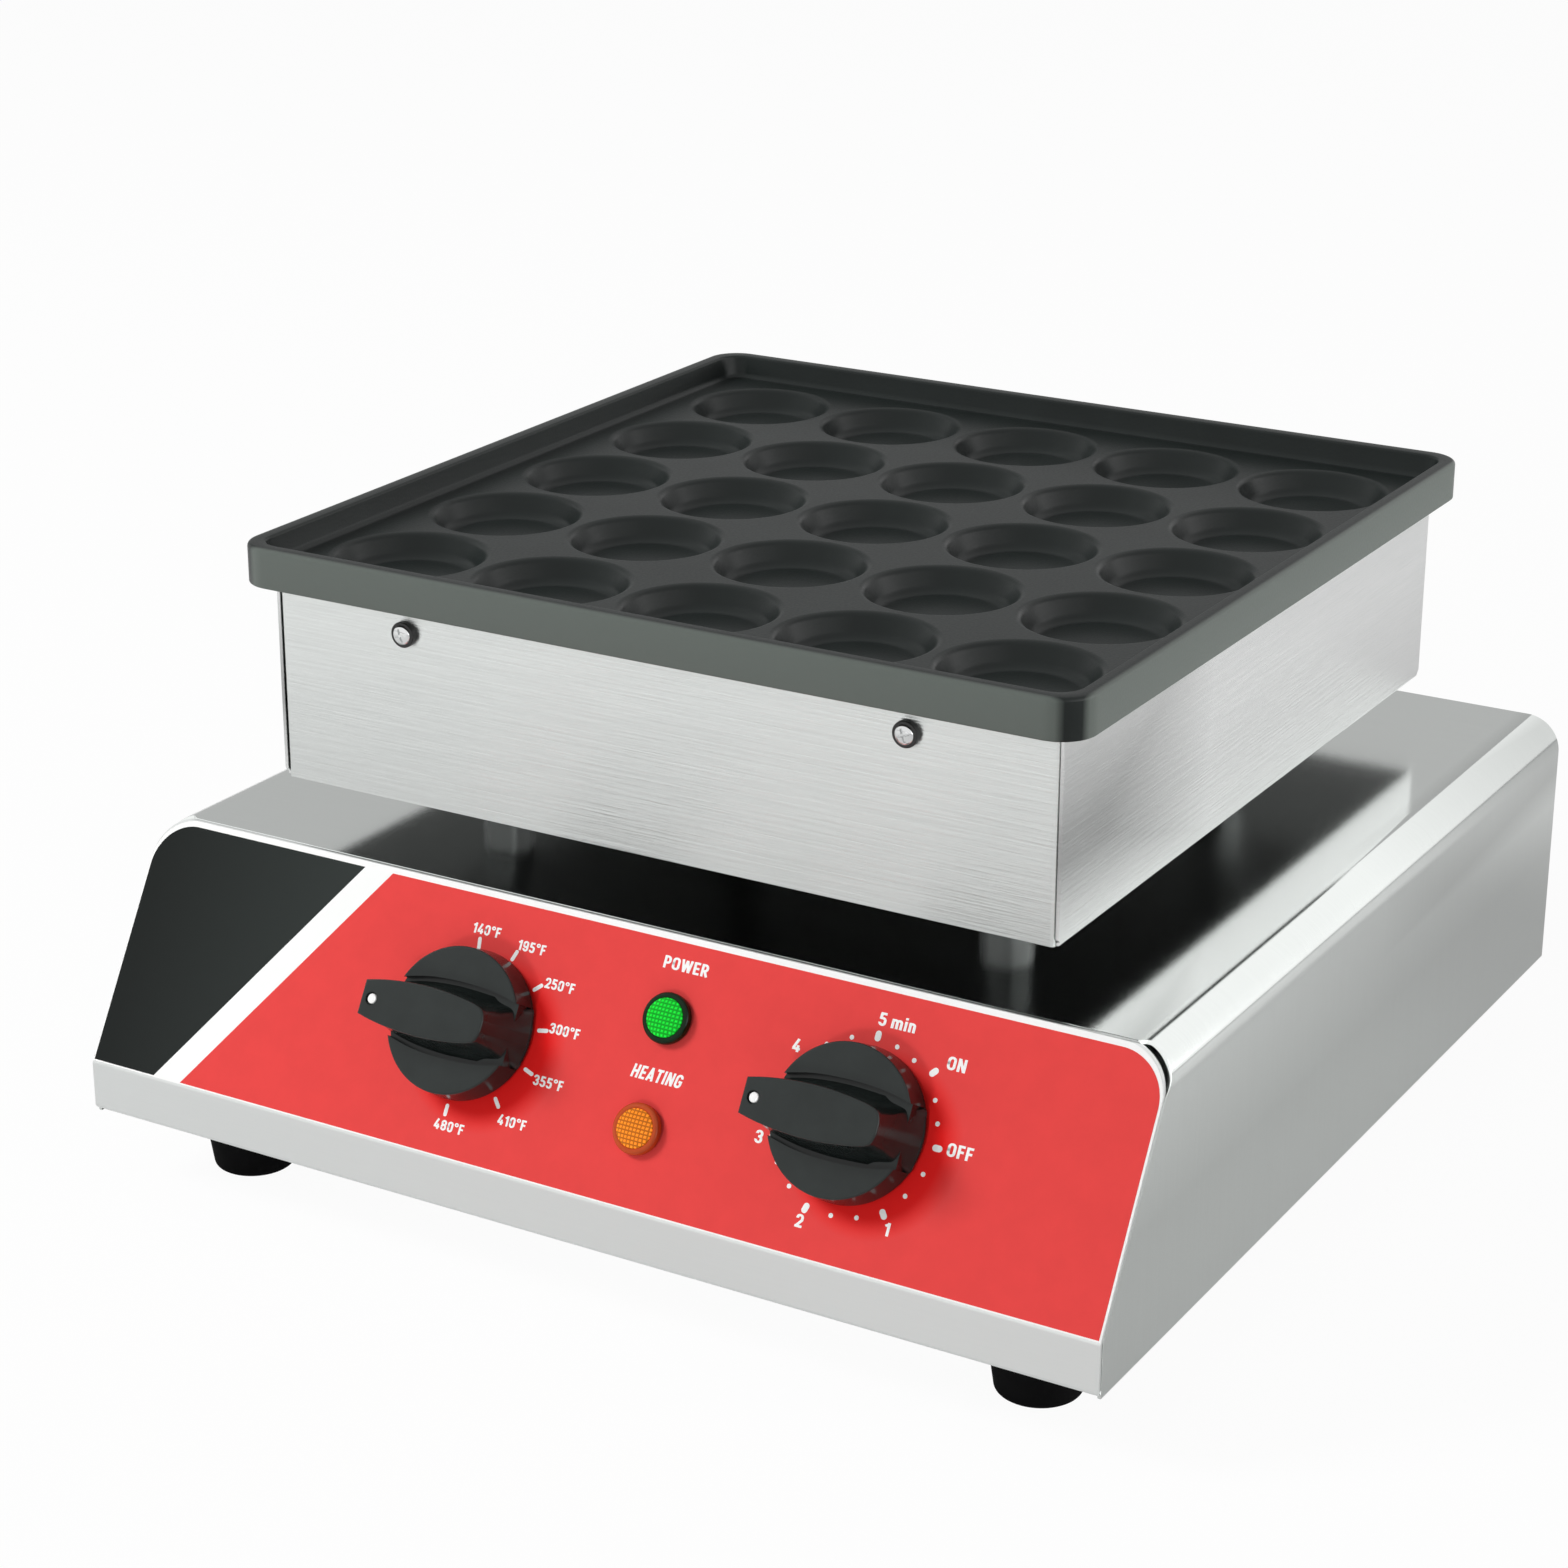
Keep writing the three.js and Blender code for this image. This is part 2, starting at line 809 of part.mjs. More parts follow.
function baseCover() {
  const half = base.width / 2;
  const outline = foldedSheet(
    [
      [-half, 0, 0],
      [-half, base.height, base.cornerRadius],
      [half, base.height, base.cornerRadius],
      [half, 0, 0],
    ],
    base.sheet,
  );
  const folded = prismAlongY(outline, -halfDepth, halfDepth);
  const flangeHeight = base.height - base.cornerRadius - bottom.recess - bottom.flange - bottom.sheet;
  const flangeBlock = block(base.flange, base.sheet, flangeHeight);
  const flanges = [-1, 1].map((side) =>
    moved(
      flangeBlock,
      side * (half - base.sheet / 2 - base.flange / 2),
      rearFlangeY - base.sheet / 2,
      bottom.recess + bottom.flange + bottom.sheet,
    ),
  );
  const front = new THREE.Shape([
    new THREE.Vector2(-halfDepth, base.lipHeight),
    new THREE.Vector2(base.setback - halfDepth, base.height),
    new THREE.Vector2(base.setback - halfDepth, base.height + overrun),
    new THREE.Vector2(-halfDepth - overrun, base.height + overrun),
    new THREE.Vector2(-halfDepth - overrun, base.lipHeight),
  ]);
  const slant = prismAlongX(front, base.width + 2 * overrun);
  const holes = corners.map(([, sideX, sideY]) =>
    moved(
      bar(post.boltRadius + slip, base.sheet + 2 * overrun, smallRoundSteps),
      (sideX * postSpanX) / 2,
      tray.setback + (sideY * postSpanY) / 2,
      base.height - base.sheet - overrun,
    ),
  );
  return cut(joined(folded, ...flanges), slant, ...holes);
}

// The frame of the slanted face: x to the right, y up the slope from the top of the lip,
// z out of the face.
function slantGroup() {
  const group = new THREE.Group();
  group.position.set(0, -halfDepth, base.lipHeight);
  group.rotation.x = slantAngle;
  return group;
}

function panelTopRise() {
  return (riseOfSlant - base.sheet - seat) / Math.sin(slantAngle);
}

function controlHoles(depth) {
  const shaft = bar(dials.shaftHoleRadius, depth, middleRoundSteps);
  const barrel = bar(lamp.barrelRadius + slip, depth, middleRoundSteps);
  return [
    moved(shaft, dials.thermostatX, dials.rise, -depth / 2),
    moved(shaft, dials.timerX, dials.rise, -depth / 2),
    moved(barrel, lamp.x, lamp.powerRise, -depth / 2),
    moved(barrel, lamp.x, lamp.heatingRise, -depth / 2),
  ];
}

// An outline in the slanted face with square lower corners and round upper ones.
function faceOutline(width, low, high, radius) {
  const x = width / 2;
  const shape = new THREE.Shape();
  shape.moveTo(-x, low);
  shape.lineTo(x, low);
  shape.absarc(x - radius, high - radius, radius, 0, Math.PI / 2);
  shape.absarc(-x + radius, high - radius, radius, Math.PI / 2, Math.PI);
  return shape;
}

function frontPanel() {
  const width = innerWidth - 2 * seat;
  const top = panelTopRise();
  const topY = top * Math.cos(slantAngle) - halfDepth;
  const topZ = top * Math.sin(slantAngle) + base.lipHeight;
  const outline = foldedSheet(
    [
      [panel.flange - halfDepth, panel.liftFromEdge, 0],
      [-halfDepth, panel.liftFromEdge, panel.bend],
      [-halfDepth, base.lipHeight, panel.bend],
      [topY, topZ, panel.bend],
      [topY + panel.flange, topZ, 0],
    ],
    panel.sheet,
  );
  const folded = prismAlongX(outline, width);
  const reach = panel.flange * 2 + slantLength;
  const mask = prism(faceOutline(width, -reach, top, panel.cornerRadius), 2 * reach);
  const place = slantGroup();
  place.updateMatrix();
  const toBase = (geometry) => geometry.applyMatrix4(place.matrix);
  const masked = kept(folded, toBase(moved(mask, 0, 0, -reach)));
  const holes = controlHoles(2 * panel.flange).map(toBase);
  return cut(masked, ...holes);
}

function panelFilm() {
  const width = innerWidth - 2 * seat - 2 * panel.filmMargin;
  const low = panel.bend / 2 + panel.filmMargin;
  const high = panelTopRise() - panel.bend / 2;
  const radius = panel.cornerRadius - panel.filmMargin;
  const film = moved(prism(faceOutline(width, low, high, radius), panel.film), 0, 0, seat);
  return cut(film, ...controlHoles(2 * overrun));
}

function obround(length, width, depth) {
  return prism(slot(length, width), depth, slotSteps);
}

function backPanel() {
  const width = innerWidth - 2 * seat;
  const radius = base.cornerRadius - base.sheet;
  const low = bottom.recess + bottom.sheet + seat;
  const high = base.height - base.sheet - seat;
  const outline = faceOutline(width, low, high, radius);
  const plate = prismAlongY(outline, halfDepth - back.sheet, halfDepth);
  const depth = back.sheet + 2 * overrun;
  const vent = obround(back.ventLength, back.ventWidth, depth).rotateX(Math.PI / 2);
  const first = back.ventX - ((back.ventCount - 1) / 2) * back.ventSpacing;
  const vents = Array.from({ length: back.ventCount }, (unused, index) =>
    moved(vent, first + index * back.ventSpacing, halfDepth + overrun, back.ventZ),
  );
  const glandHole = bar(gland.threadRadius + slip, depth).rotateX(Math.PI / 2);
  return cut(plate, ...vents, moved(glandHole, glandX, halfDepth + overrun, gland.z));
}

function bottomPlate() {
  const half = innerWidth / 2 - seat;
  const front = panel.sheet + seat - halfDepth;
  const rear = rearFlangeY - base.sheet - seat;
  const outline = foldedSheet(
    [
      [-half, bottom.recess + bottom.sheet + bottom.flange, 0],
      [-half, bottom.recess, bottom.sheet + seat],
      [half, bottom.recess, bottom.sheet + seat],
      [half, bottom.recess + bottom.sheet + bottom.flange, 0],
    ],
    -bottom.sheet,
  );
  const plate = prismAlongY(outline, front + panel.flange, rear);
  const vent = obround(bottom.ventLength, bottom.ventWidth, bottom.sheet + 2 * overrun);
  const first = -((bottom.ventCount - 1) / 2) * bottom.ventSpacing;
  const vents = [];
  [-1, 1].forEach((side) => {
    for (let index = 0; index < bottom.ventCount; index++) {
      const y = (side * bottom.ventRowSpan) / 2;
      vents.push(moved(vent, first + index * bottom.ventSpacing, y, bottom.recess - overrun));
    }
  });
  const screw = bar(foot.screwRadius + slip, bottom.sheet + 2 * overrun, smallRoundSteps);
  const holes = footPlaces().map(([, x, y]) => moved(screw, x, y, bottom.recess - overrun));
  return cut(plate, ...vents, ...holes);
}

function footPlaces() {
  const x = base.width / 2 - foot.inset;
  const y = halfDepth - foot.inset;
  return corners.map(([place, sideX, sideY]) => [place, sideX * x, sideY * y]);
}

// A tapered rubber foot with a pocket for its screw, drawn up from the table.
function rubberFoot() {
  const { topRadius, bottomRadius, edge, height, pocketRadius, pocketDepth } = foot;
  const hole = foot.screwRadius + slip;
  return turned(
    [
      [pocketRadius, 0],
      [bottomRadius - edge, 0],
      [bottomRadius, edge],
      [topRadius, height],
      [hole, height],
      [hole, pocketDepth],
      [pocketRadius, pocketDepth],
      [pocketRadius, 0],
    ],
    middleRoundSteps,
  );
}

// The foot's screw hangs its head in the pocket and runs up through the bottom plate.
function footScrew() {
  const { screwRadius, headRadius, headHeight, height, pocketDepth } = foot;
  const top = height + bottom.sheet + bottom.flange / 3;
  const under = pocketDepth - seat;
  return turned(
    [
      [0, under - headHeight],
      [headRadius * headCrownShare, under - headHeight],
      [headRadius, under - headHeight * headSideShare],
      [headRadius, under],
      [screwRadius, under],
      [screwRadius, top],
      [0, top],
    ],
    smallRoundSteps,
  );
}

// The cable gland in the back panel, drawn along +z out of the base.

function glandBody() {
  const { threadRadius, innerLength, flats, hexHeight, stubRadius, stubLength, boreRadius } = gland;
  const inside = -innerLength - back.sheet;
  const outside = hexHeight + stubLength;
  const barrel = turned([
    [0, inside],
    [threadRadius, inside],
    [threadRadius, hexHeight / 2],
    [stubRadius, hexHeight / 2],
    [stubRadius, outside],
    [0, outside],
  ]);
  const bore = bar(boreRadius, outside - inside + 2 * overrun, smallRoundSteps);
  return cut(joined(hexagon(flats, hexHeight), barrel), moved(bore, 0, 0, inside - overrun));
}

function glandCap() {
  const { capRadius, capNose, capLength, stubRadius, stubLength, boreRadius } = gland;
  const inner = stubRadius + slip;
  const roof = stubLength + seat;
  return turned(
    [
      [inner, 0],
      [capRadius, 0],
      [capRadius, capLength - 2 * (capRadius - capNose)],
      [capNose, capLength],
      [boreRadius, capLength],
      [boreRadius, roof],
      [inner, roof],
      [inner, 0],
    ],
    middleRoundSteps,
  );
}

function glandLocknut() {
  const hole = bar(gland.threadRadius + slip, gland.nutHeight + 2 * overrun, middleRoundSteps);
  return cut(hexagon(gland.flats, gland.nutHeight), moved(hole, 0, 0, -overrun));
}

// Knobs: a drafted disc with a raised finger grip whose beak points past the disc.
// Drawn along +z out of the panel, with the beak towards -x.

function gripOutline(tip, end, tipHalf, belly, endHalf) {
  const shape = new THREE.Shape();
  const middle = (end - tip) / 2;
  shape.moveTo(-tip, -tipHalf);
  shape.quadraticCurveTo(middle, -belly, end, -endHalf);
  shape.quadraticCurveTo(end + endHalf / 4, 0, end, endHalf);
  shape.quadraticCurveTo(middle, belly, -tip, tipHalf);
  return shape.getPoints(arcSteps);
}

function controlKnob() {
  const { edge, height, faceHeight, clearance, baseRadius, faceRadius } = knob;
  const disc = turned(
    [
      [0, clearance],
      [baseRadius, clearance],
      [faceRadius, faceHeight - edge],
      [faceRadius - edge, faceHeight],
      [0, faceHeight],
    ],
    largeRoundSteps,
  );
  const at = (rise) => (height - rise) / (height - knob.rootHeight);
  const outline = (rise, inset) => {
    const share = at(rise);
    const blend = (top, root) => top + (root - top) * share - inset;
    return gripOutline(
      blend(knob.tipReach, knob.rootTipReach),
      blend(knob.endReach, knob.rootEndReach),
      blend(knob.tipHalfWidth, knob.tipHalfWidth),
      blend(knob.bellyHalfWidth, knob.bellyHalfWidth + 2 * knob.rootFlare),
      blend(knob.endHalfWidth, knob.endHalfWidth + knob.rootFlare),
    );
  };
  const grip = loft([
    { z: knob.rootHeight, outline: outline(knob.rootHeight, 0) },
    { z: height - edge, outline: outline(height - edge, 0) },
    { z: height, outline: outline(height, edge) },
  ]);
  const boreRadius = dials.shaftRadius + slip;
  const bore = bar(boreRadius, knob.boreDepth + overrun, smallRoundSteps);
  const cavity = bar(knob.cavityRadius, knob.cavityDepth + overrun, largeRoundSteps);
  const hub = bar(boreRadius + knob.hubWall, knob.cavityDepth, middleRoundSteps);
  const pocket = bar(knob.dotPocketRadius, knob.dotPocketDepth + overrun, smallRoundSteps);
  const shell = cut(
    joined(disc, grip),
    moved(cavity, 0, 0, clearance - overrun),
    moved(pocket, -knob.dotPlace, 0, height - knob.dotPocketDepth),
  );
  return cut(
    joined(shell, moved(hub, 0, 0, clearance + seat)),
    moved(bore, 0, 0, clearance - overrun),
  );
}

function knobDot() {
  return bar(knob.dotRadius, knob.dotPocketDepth - seat, smallRoundSteps);
}

function knobShaft() {
  const reach = knob.clearance + knob.boreDepth - seat;
  const inside = panel.sheet + seat + control.shaftInBody;
  return moved(bar(dials.shaftRadius, reach + inside, smallRoundSteps), 0, 0, -inside);
}

// The bodies behind the panel, with a bush round the shaft. Drawn down -z from the sheet.

function controlBody(body) {
  const ears = block(control.thermostatWidth, control.earReach * 2, control.earSheet);
  const bush = bar(control.bushRadius, panel.sheet + 2 * seat + control.earSheet, middleRoundSteps);
  const whole = joined(body, moved(ears, 0, 0, -control.earSheet), moved(bush, 0, 0, -control.earSheet));
  const depth = control.shaftInBody + seat;
  const bore = bar(dials.shaftRadius + slip, depth + panel.sheet + 2 * overrun, smallRoundSteps);
  return cut(whole, moved(bore, 0, 0, -depth));
}

function thermostatBody() {
  const { thermostatWidth, thermostatHeight, thermostatDepth } = control;
  const body = block(thermostatWidth * control.caseWidthShare, thermostatHeight, thermostatDepth);
  return controlBody(moved(body, 0, 0, -thermostatDepth));
}

function timerBody() {
  const can = bar(control.timerRadius, control.timerDepth, middleRoundSteps);
  return controlBody(moved(can, 0, 0, -control.timerDepth));
}

// Indicator lamps: a bezel with its barrel, and a crowned lens that sits in the bezel.

function lampBezel() {
  const { bezelRadius, bezelHeight, bezelEdge, barrelRadius, barrelDepth, lensRadius, lensSink } = lamp;
  return turned(
    [
      [0, -barrelDepth],
      [barrelRadius, -barrelDepth],
      [barrelRadius, 0],
      [bezelRadius, 0],
      [bezelRadius, bezelHeight - bezelEdge],
      [bezelRadius - bezelEdge, bezelHeight],
      [lensRadius + slip, bezelHeight],
      [lensRadius + slip, bezelHeight - lensSink],
      [0, bezelHeight - lensSink],
    ],
    middleRoundSteps,
  );
}

function lampLens() {
  const { lensRadius, lensSink, lensCrown } = lamp;
  const thick = lensSink - seat;
  return turned(
    [
      [0, 0],
      [lensRadius, 0],
      [lensRadius, thick],
      [lensRadius / 2, thick + lensCrown * lamp.crownShoulderShare],
      [0, thick + lensCrown],
    ],
    middleRoundSteps,
  );
}

function terminalBlock() {
  const { width, depth, height, poles, poleRadius } = terminal;
  const pitch = width / poles;
  const holes = [];
  for (let pole = 0; pole < poles; pole++) {
    const x = (pole - (poles - 1) / 2) * pitch;
    const hole = bar(poleRadius, depth + 2 * overrun, smallRoundSteps).rotateX(Math.PI / 2);
    holes.push(moved(hole, x, depth / 2 + overrun, height / 2));
  }
  return cut(block(width, depth, height), ...holes);
}

// Assembly.

const maker = new THREE.Group();
maker.name = "mini_pancake_maker";
const upper = new THREE.Group();
upper.position.set(0, tray.setback, baseLift);
const lower = new THREE.Group();
lower.position.z = baseLift;
const table = new THREE.Group();
const face = slantGroup();
lower.add(face);
maker.add(upper, lower, table);

upper.add(piece("baking_plate", bakingPlate(), finish.nonStick()));
upper.add(piece("heating_element", heatingElement(), finish.elementSteel()));
[
  ["front", -1],
  ["back", 1],
].forEach(([place, side]) => {
  const y = side * element.strapPlace;
  const strapZ = strapTopZ - element.strapSheet;
  upper.add(piece(`element_clamp_${place}`, elementStrap(), finish.zincSteel(), 0, y, strapZ));
  upper.add(piece(`clamp_screw_${place}`, strapScrew(), finish.zincSteel(), 0, y, strapZ - seat));
});

const sensorZ = spigotZ - sensor.radius - seat;
const bulbRear = sensor.length / 2 - sensor.sleeveWall;
upper.add(
  piece(
    "thermostat_bulb",
    bar(sensor.radius, sensor.length - 2 * sensor.sleeveWall - seat, smallRoundSteps).rotateX(Math.PI / 2),
    finish.copper(),
    0,
    bulbRear,
    sensorZ,
  ),
);
upper.add(
  piece("overheat_cutout", overheatCutout(), finish.ceramic(), mould.spacing, 0, spigotZ - seat),
);

const capillaryZ = sensorZ - sensor.capillaryDrop;
const postX = postSpanX / 2;
const postY = postSpanY / 2;
upper.add(
  piece(
    "capillary_tube",
    tube(
      route([
        [0, bulbRear + seat, sensorZ, 0],
        [0, bulbRear + sensor.tailReach, sensorZ, sensor.tailBend],
        [0, bulbRear + sensor.tailReach, capillaryZ, sensor.tailBend],
        [-postX, postY, capillaryZ, sensor.tailBend],
        [-postX, postY, base.height / 2, sensor.tailBend],
        [dials.thermostatX, -postY, base.height / 2, 0],
      ]),
      sensor.capillaryRadius,
      wireRoundSteps,
    ),
    finish.copper(),
  ),
);

[
  ["left", -1],
  ["right", 1],
].forEach(([place, side]) => {
  const pinX = side * 1.5 * mould.spacing;
  const pinY = -element.reach;
  const pinZ = elementZ - element.drop;
  const drain = terminalX + ((side - 1) * terminal.width) / terminal.poles / 2;
  upper.add(
    piece(
      `element_lead_${place}`,
      tube(
        route([
          [pinX, pinY, pinZ - seat, 0],
          [pinX, pinY, pinZ - lead.sag, lead.radius * 3],
          [side * postX, -postY, pinZ - lead.sag, lead.radius * 2],
          [side * postX, -postY, base.height / 3, lead.radius * 3],
          [drain, postY, base.height / 3, 0],
        ]),
        lead.radius,
        wireRoundSteps,
      ),
      finish.glassSleeve(),
    ),
  );
});

upper.add(piece("box_shell", boxShell(), finish.brushedSteel()));
upper.add(piece("box_front_panel", boxEndPanel(-1), finish.brushedSteel()));
upper.add(piece("box_back_panel", boxEndPanel(1), finish.brushedSteel()));

corners.forEach(([place, sideX, sideY]) => {
  const screw = piece(`dome_screw_${place}`, domeHeadScrew(), finish.brightSteel());
  const faceY = sideY < 0 ? -box.frontToTray : box.backToTray;
  const x = sideX * (box.width / 2 - box.screwInset);
  screw.rotation.x = (sideY * Math.PI) / 2;
  screw.position.set(x, faceY + sideY * seat, trayZ - box.screwDrop);
  upper.add(screw);

  const at = [sideX * postX, sideY * postY];
  upper.add(piece(`post_sleeve_${place}`, postSleeve(), finish.brightSteel(), ...at, base.height));
  upper.add(piece(`post_bolt_${place}`, postBolt(), finish.zincSteel(), ...at, boxFloorZ + box.sheet));
  const nutZ = base.height - base.sheet - post.nutHeight;
  upper.add(piece(`post_nut_${place}`, postNut(), finish.zincSteel(), ...at, nutZ));
});

lower.add(piece("base_cover", baseCover(), finish.brushedSteel()));
lower.add(piece("front_panel", frontPanel(), finish.brushedSteel()));
lower.add(piece("back_panel", backPanel(), finish.brushedSteel()));
lower.add(piece("bottom_plate", bottomPlate(), finish.brushedSteel()));

footPlaces().forEach(([place, x, y]) => {
  table.add(piece(`foot_${place}`, rubberFoot(), finish.rubber(), x, y, 0));
  table.add(piece(`foot_screw_${place}`, footScrew(), finish.zincSteel(), x, y, 0));
});

const glandGroup = new THREE.Group();
glandGroup.position.set(glandX, halfDepth, gland.z);
glandGroup.rotation.x = -Math.PI / 2;
lower.add(glandGroup);
glandGroup.add(piece("cable_gland_body", glandBody(), finish.blackPlastic(), 0, 0, seat));
glandGroup.add(
  piece("cable_gland_cap", glandCap(), finish.blackPlastic(), 0, 0, 2 * seat + gland.hexHeight),
);
glandGroup.add(
  piece("cable_gland_locknut", glandLocknut(), finish.blackPlastic(), 0, 0,
    -back.sheet - seat - gland.nutHeight),
);

const faceTop = seat + panel.film;
face.add(piece("panel_overlay", panelFilm(), finish.redFilm()));
[
  ["thermostat", dials.thermostatX, thermostatBody],
  ["timer", dials.timerX, timerBody],
].forEach(([name, x, body]) => {
  const at = [x, dials.rise];
  const behind = -panel.sheet - seat;
  face.add(piece(`${name}_body`, body(), finish.zincSteel(), ...at, behind));
  face.add(piece(`${name}_shaft`, knobShaft(), finish.zincSteel(), ...at, 0));
  face.add(piece(`${name}_knob`, controlKnob(), finish.blackPlastic(), ...at, 0));
  const dotZ = knob.height - knob.dotPocketDepth + seat / 2;
  face.add(piece(`${name}_knob_dot`, knobDot(), finish.whitePlastic(), x - knob.dotPlace, dials.rise, dotZ));
});
[
  ["power", lamp.powerRise, finish.greenBezel(), finish.greenLens()],
  ["heating", lamp.heatingRise, finish.amberBezel(), finish.amberLens()],
].forEach(([name, rise, bezel, lens]) => {
  const bezelZ = faceTop + seat;
  const lensZ = bezelZ + lamp.bezelHeight - lamp.lensSink + seat / 2;
  face.add(piece(`${name}_lamp_bezel`, lampBezel(), bezel, lamp.x, rise, bezelZ));
  face.add(piece(`${name}_lamp_lens`, lampLens(), lens, lamp.x, rise, lensZ));
});

lower.add(
  piece(
    "terminal_block",
    terminalBlock(),
    finish.ceramic(),
    terminalX,
    halfDepth - terminal.gapToBack,
    bottom.recess + bottom.sheet + seat,
  ),
);

// The maker stands with the middle of its whole outline over the origin.
const outline = new THREE.Box3().setFromObject(maker, true);
const middle = outline.getCenter(new THREE.Vector3());
maker.position.set(-middle.x, -middle.y, -outline.min.z);

export default maker;
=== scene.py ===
"""Looks of a mini pancake maker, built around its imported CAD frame.

Every length in the classes is in millimetres, in the part's own frame: x to the right, y to the
back, z up, with the table at z = 0. Meshes are scaled to metres when a form is finished.
"""

import logging
import math
from dataclasses import dataclass
from enum import Enum
from typing import Callable, Sequence

import bmesh
import bpy
from mathutils import Matrix, Vector


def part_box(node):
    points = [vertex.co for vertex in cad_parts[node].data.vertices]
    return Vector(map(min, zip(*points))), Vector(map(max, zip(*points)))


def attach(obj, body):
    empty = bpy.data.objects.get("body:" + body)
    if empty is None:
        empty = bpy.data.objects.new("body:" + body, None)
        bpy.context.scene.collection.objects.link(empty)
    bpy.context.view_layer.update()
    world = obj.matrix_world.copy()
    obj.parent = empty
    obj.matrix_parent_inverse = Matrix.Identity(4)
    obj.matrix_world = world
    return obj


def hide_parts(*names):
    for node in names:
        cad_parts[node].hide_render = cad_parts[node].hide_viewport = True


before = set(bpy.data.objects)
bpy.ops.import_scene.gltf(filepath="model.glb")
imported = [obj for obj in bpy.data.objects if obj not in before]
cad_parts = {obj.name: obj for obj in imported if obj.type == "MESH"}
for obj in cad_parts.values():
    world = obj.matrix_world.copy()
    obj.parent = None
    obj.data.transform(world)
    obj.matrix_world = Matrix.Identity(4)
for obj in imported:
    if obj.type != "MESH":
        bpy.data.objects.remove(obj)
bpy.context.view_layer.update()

logging.basicConfig(level=logging.INFO, format="%(message)s")
log = logging.getLogger("pancake_maker")

MM = 0.001
WELD = 0.001
GRAIN_DEPTH = 0.1 * MM
SHARP_BEVEL = math.radians(60)
EVERYWHERE = 1e4
X_AXIS, Y_AXIS, Z_AXIS = range(3)

Point = tuple[float, float]
Spot = tuple[float, float, float]
Colour = tuple[float, float, float]
Faces = tuple[list[Point], list[Point]]
Stroke = tuple[tuple[float, ...], ...]
Object = bpy.types.Object
Material = bpy.types.Material
Socket = bpy.types.NodeSocket


# Outlines


def arc(middle: Point, radius: float, start: float, end: float, steps: int) -> list[Point]:
    """Points along an arc.

    Args:
        middle: Centre of the arc.
        radius: Radius of the arc.
        start: Angle of the first point, in degrees.
        end: Angle of the last point, in degrees.
        steps: Number of parts the arc is cut in.

    Returns:
        The points, both ends among them.
    """
    turns = [math.radians(start + (end - start) * step / steps) for step in range(steps + 1)]
    return [(middle[0] + radius * math.cos(t), middle[1] + radius * math.sin(t)) for t in turns]


def folded_sheet(line: Sequence[Spot], thickness: float, steps: int = 8) -> Faces:
    """Both faces of a folded sheet.

    Args:
        line: Corners of one face as (across, up, bend radius). The ends have no bend.
        thickness: Sheet thickness, measured to the right of the way the line runs.
        steps: Number of parts of each bend.

    Returns:
        The points of the given face and of the other face, in pairs.
    """
    near: list[Point] = []
    far: list[Point] = []

    def side(a: Vector, b: Vector) -> Vector:
        way = (b - a).normalized()
        return Vector((way.y, -way.x))

    def put(point: Vector, normal: Vector) -> None:
        near.append(tuple(point))
        far.append(tuple(point + normal * thickness))

    places = [Vector(entry[:2]) for entry in line]
    for index, entry in enumerate(line):
        here = places[index]
        if index == 0:
            put(here, side(here, places[1]))
            continue
        before = side(places[index - 1], here)
        if index == len(line) - 1 or not entry[2]:
            put(here, before)
            continue
        after = side(here, places[index + 1])
        turn = math.atan2(before.x * after.y - before.y * after.x, before.dot(after))
        radius = entry[2]
        towards = -math.copysign(1, turn)
        way = Vector((-before.y, before.x))
        centre = here - way * radius * math.tan(abs(turn) / 2) + before * towards * radius
        for step in range(steps + 1):
            spoke = before.copy()
            spoke.rotate(Matrix.Rotation(turn * step / steps, 2))
            put(centre - spoke * towards * radius, spoke)
    return near, far


def ribbon(line: Sequence[Sequence[float]], width: float) -> Faces:
    """Both edges of a stroke drawn along a line.

    Args:
        line: Corners as (across, up), or as (across, up, bend radius) where the stroke bends.
        width: Width of the stroke.

    Returns:
        The points of the left and of the right edge, in pairs.
    """
    near, far = folded_sheet([(*point, 0)[:3] for point in line], width, 5)
    left = [(1.5 * a[0] - 0.5 * b[0], 1.5 * a[1] - 0.5 * b[1]) for a, b in zip(near, far)]
    right = [((a[0] + b[0]) / 2, (a[1] + b[1]) / 2) for a, b in zip(near, far)]
    return left, right


def even_ring(
    size: Point, radius: float, middle_y: float, straight: int, corner: int
) -> list[Point]:
    """A rounded rectangle whose point count depends only on the two step counts.

    Args:
        size: Width and depth.
        radius: Corner radius.
        middle_y: Place of the middle along y.
        straight: Parts of each straight side.
        corner: Parts of each half corner.

    Returns:
        The points, anticlockwise from the middle of the front left corner.
    """
    x, y = size[0] / 2 - radius, size[1] / 2 - radius
    corners = [(-x, -y, 225), (x, -y, 315), (x, y, 45), (-x, y, 135)]
    points: list[Point] = []
    for index, (cx, cy, angle) in enumerate(corners):
        nx, ny, _ = corners[(index + 1) % 4]
        points += arc((cx, cy), radius, angle, angle + 45, corner)[:-1]
        start = arc((cx, cy), radius, angle + 45, angle + 45, 1)[0]
        end = arc((nx, ny), radius, angle + 45, angle + 45, 1)[0]
        for step in range(straight):
            share = step / straight
            points.append(tuple(a + (b - a) * share for a, b in zip(start, end)))
        points += arc((nx, ny), radius, angle + 45, angle + 90, corner)[:-1]
    return [(px, py + middle_y) for px, py in points]


def round_top(width: float, low: float, high: float, radius: float, steps: int = 24) -> list[Point]:
    """An outline with square lower corners and round upper ones."""
    x = width / 2
    return [
        (-x, low),
        (x, low),
        *arc((x - radius, high - radius), radius, 0, 90, steps),
        *arc((radius - x, high - radius), radius, 90, 180, steps),
    ]


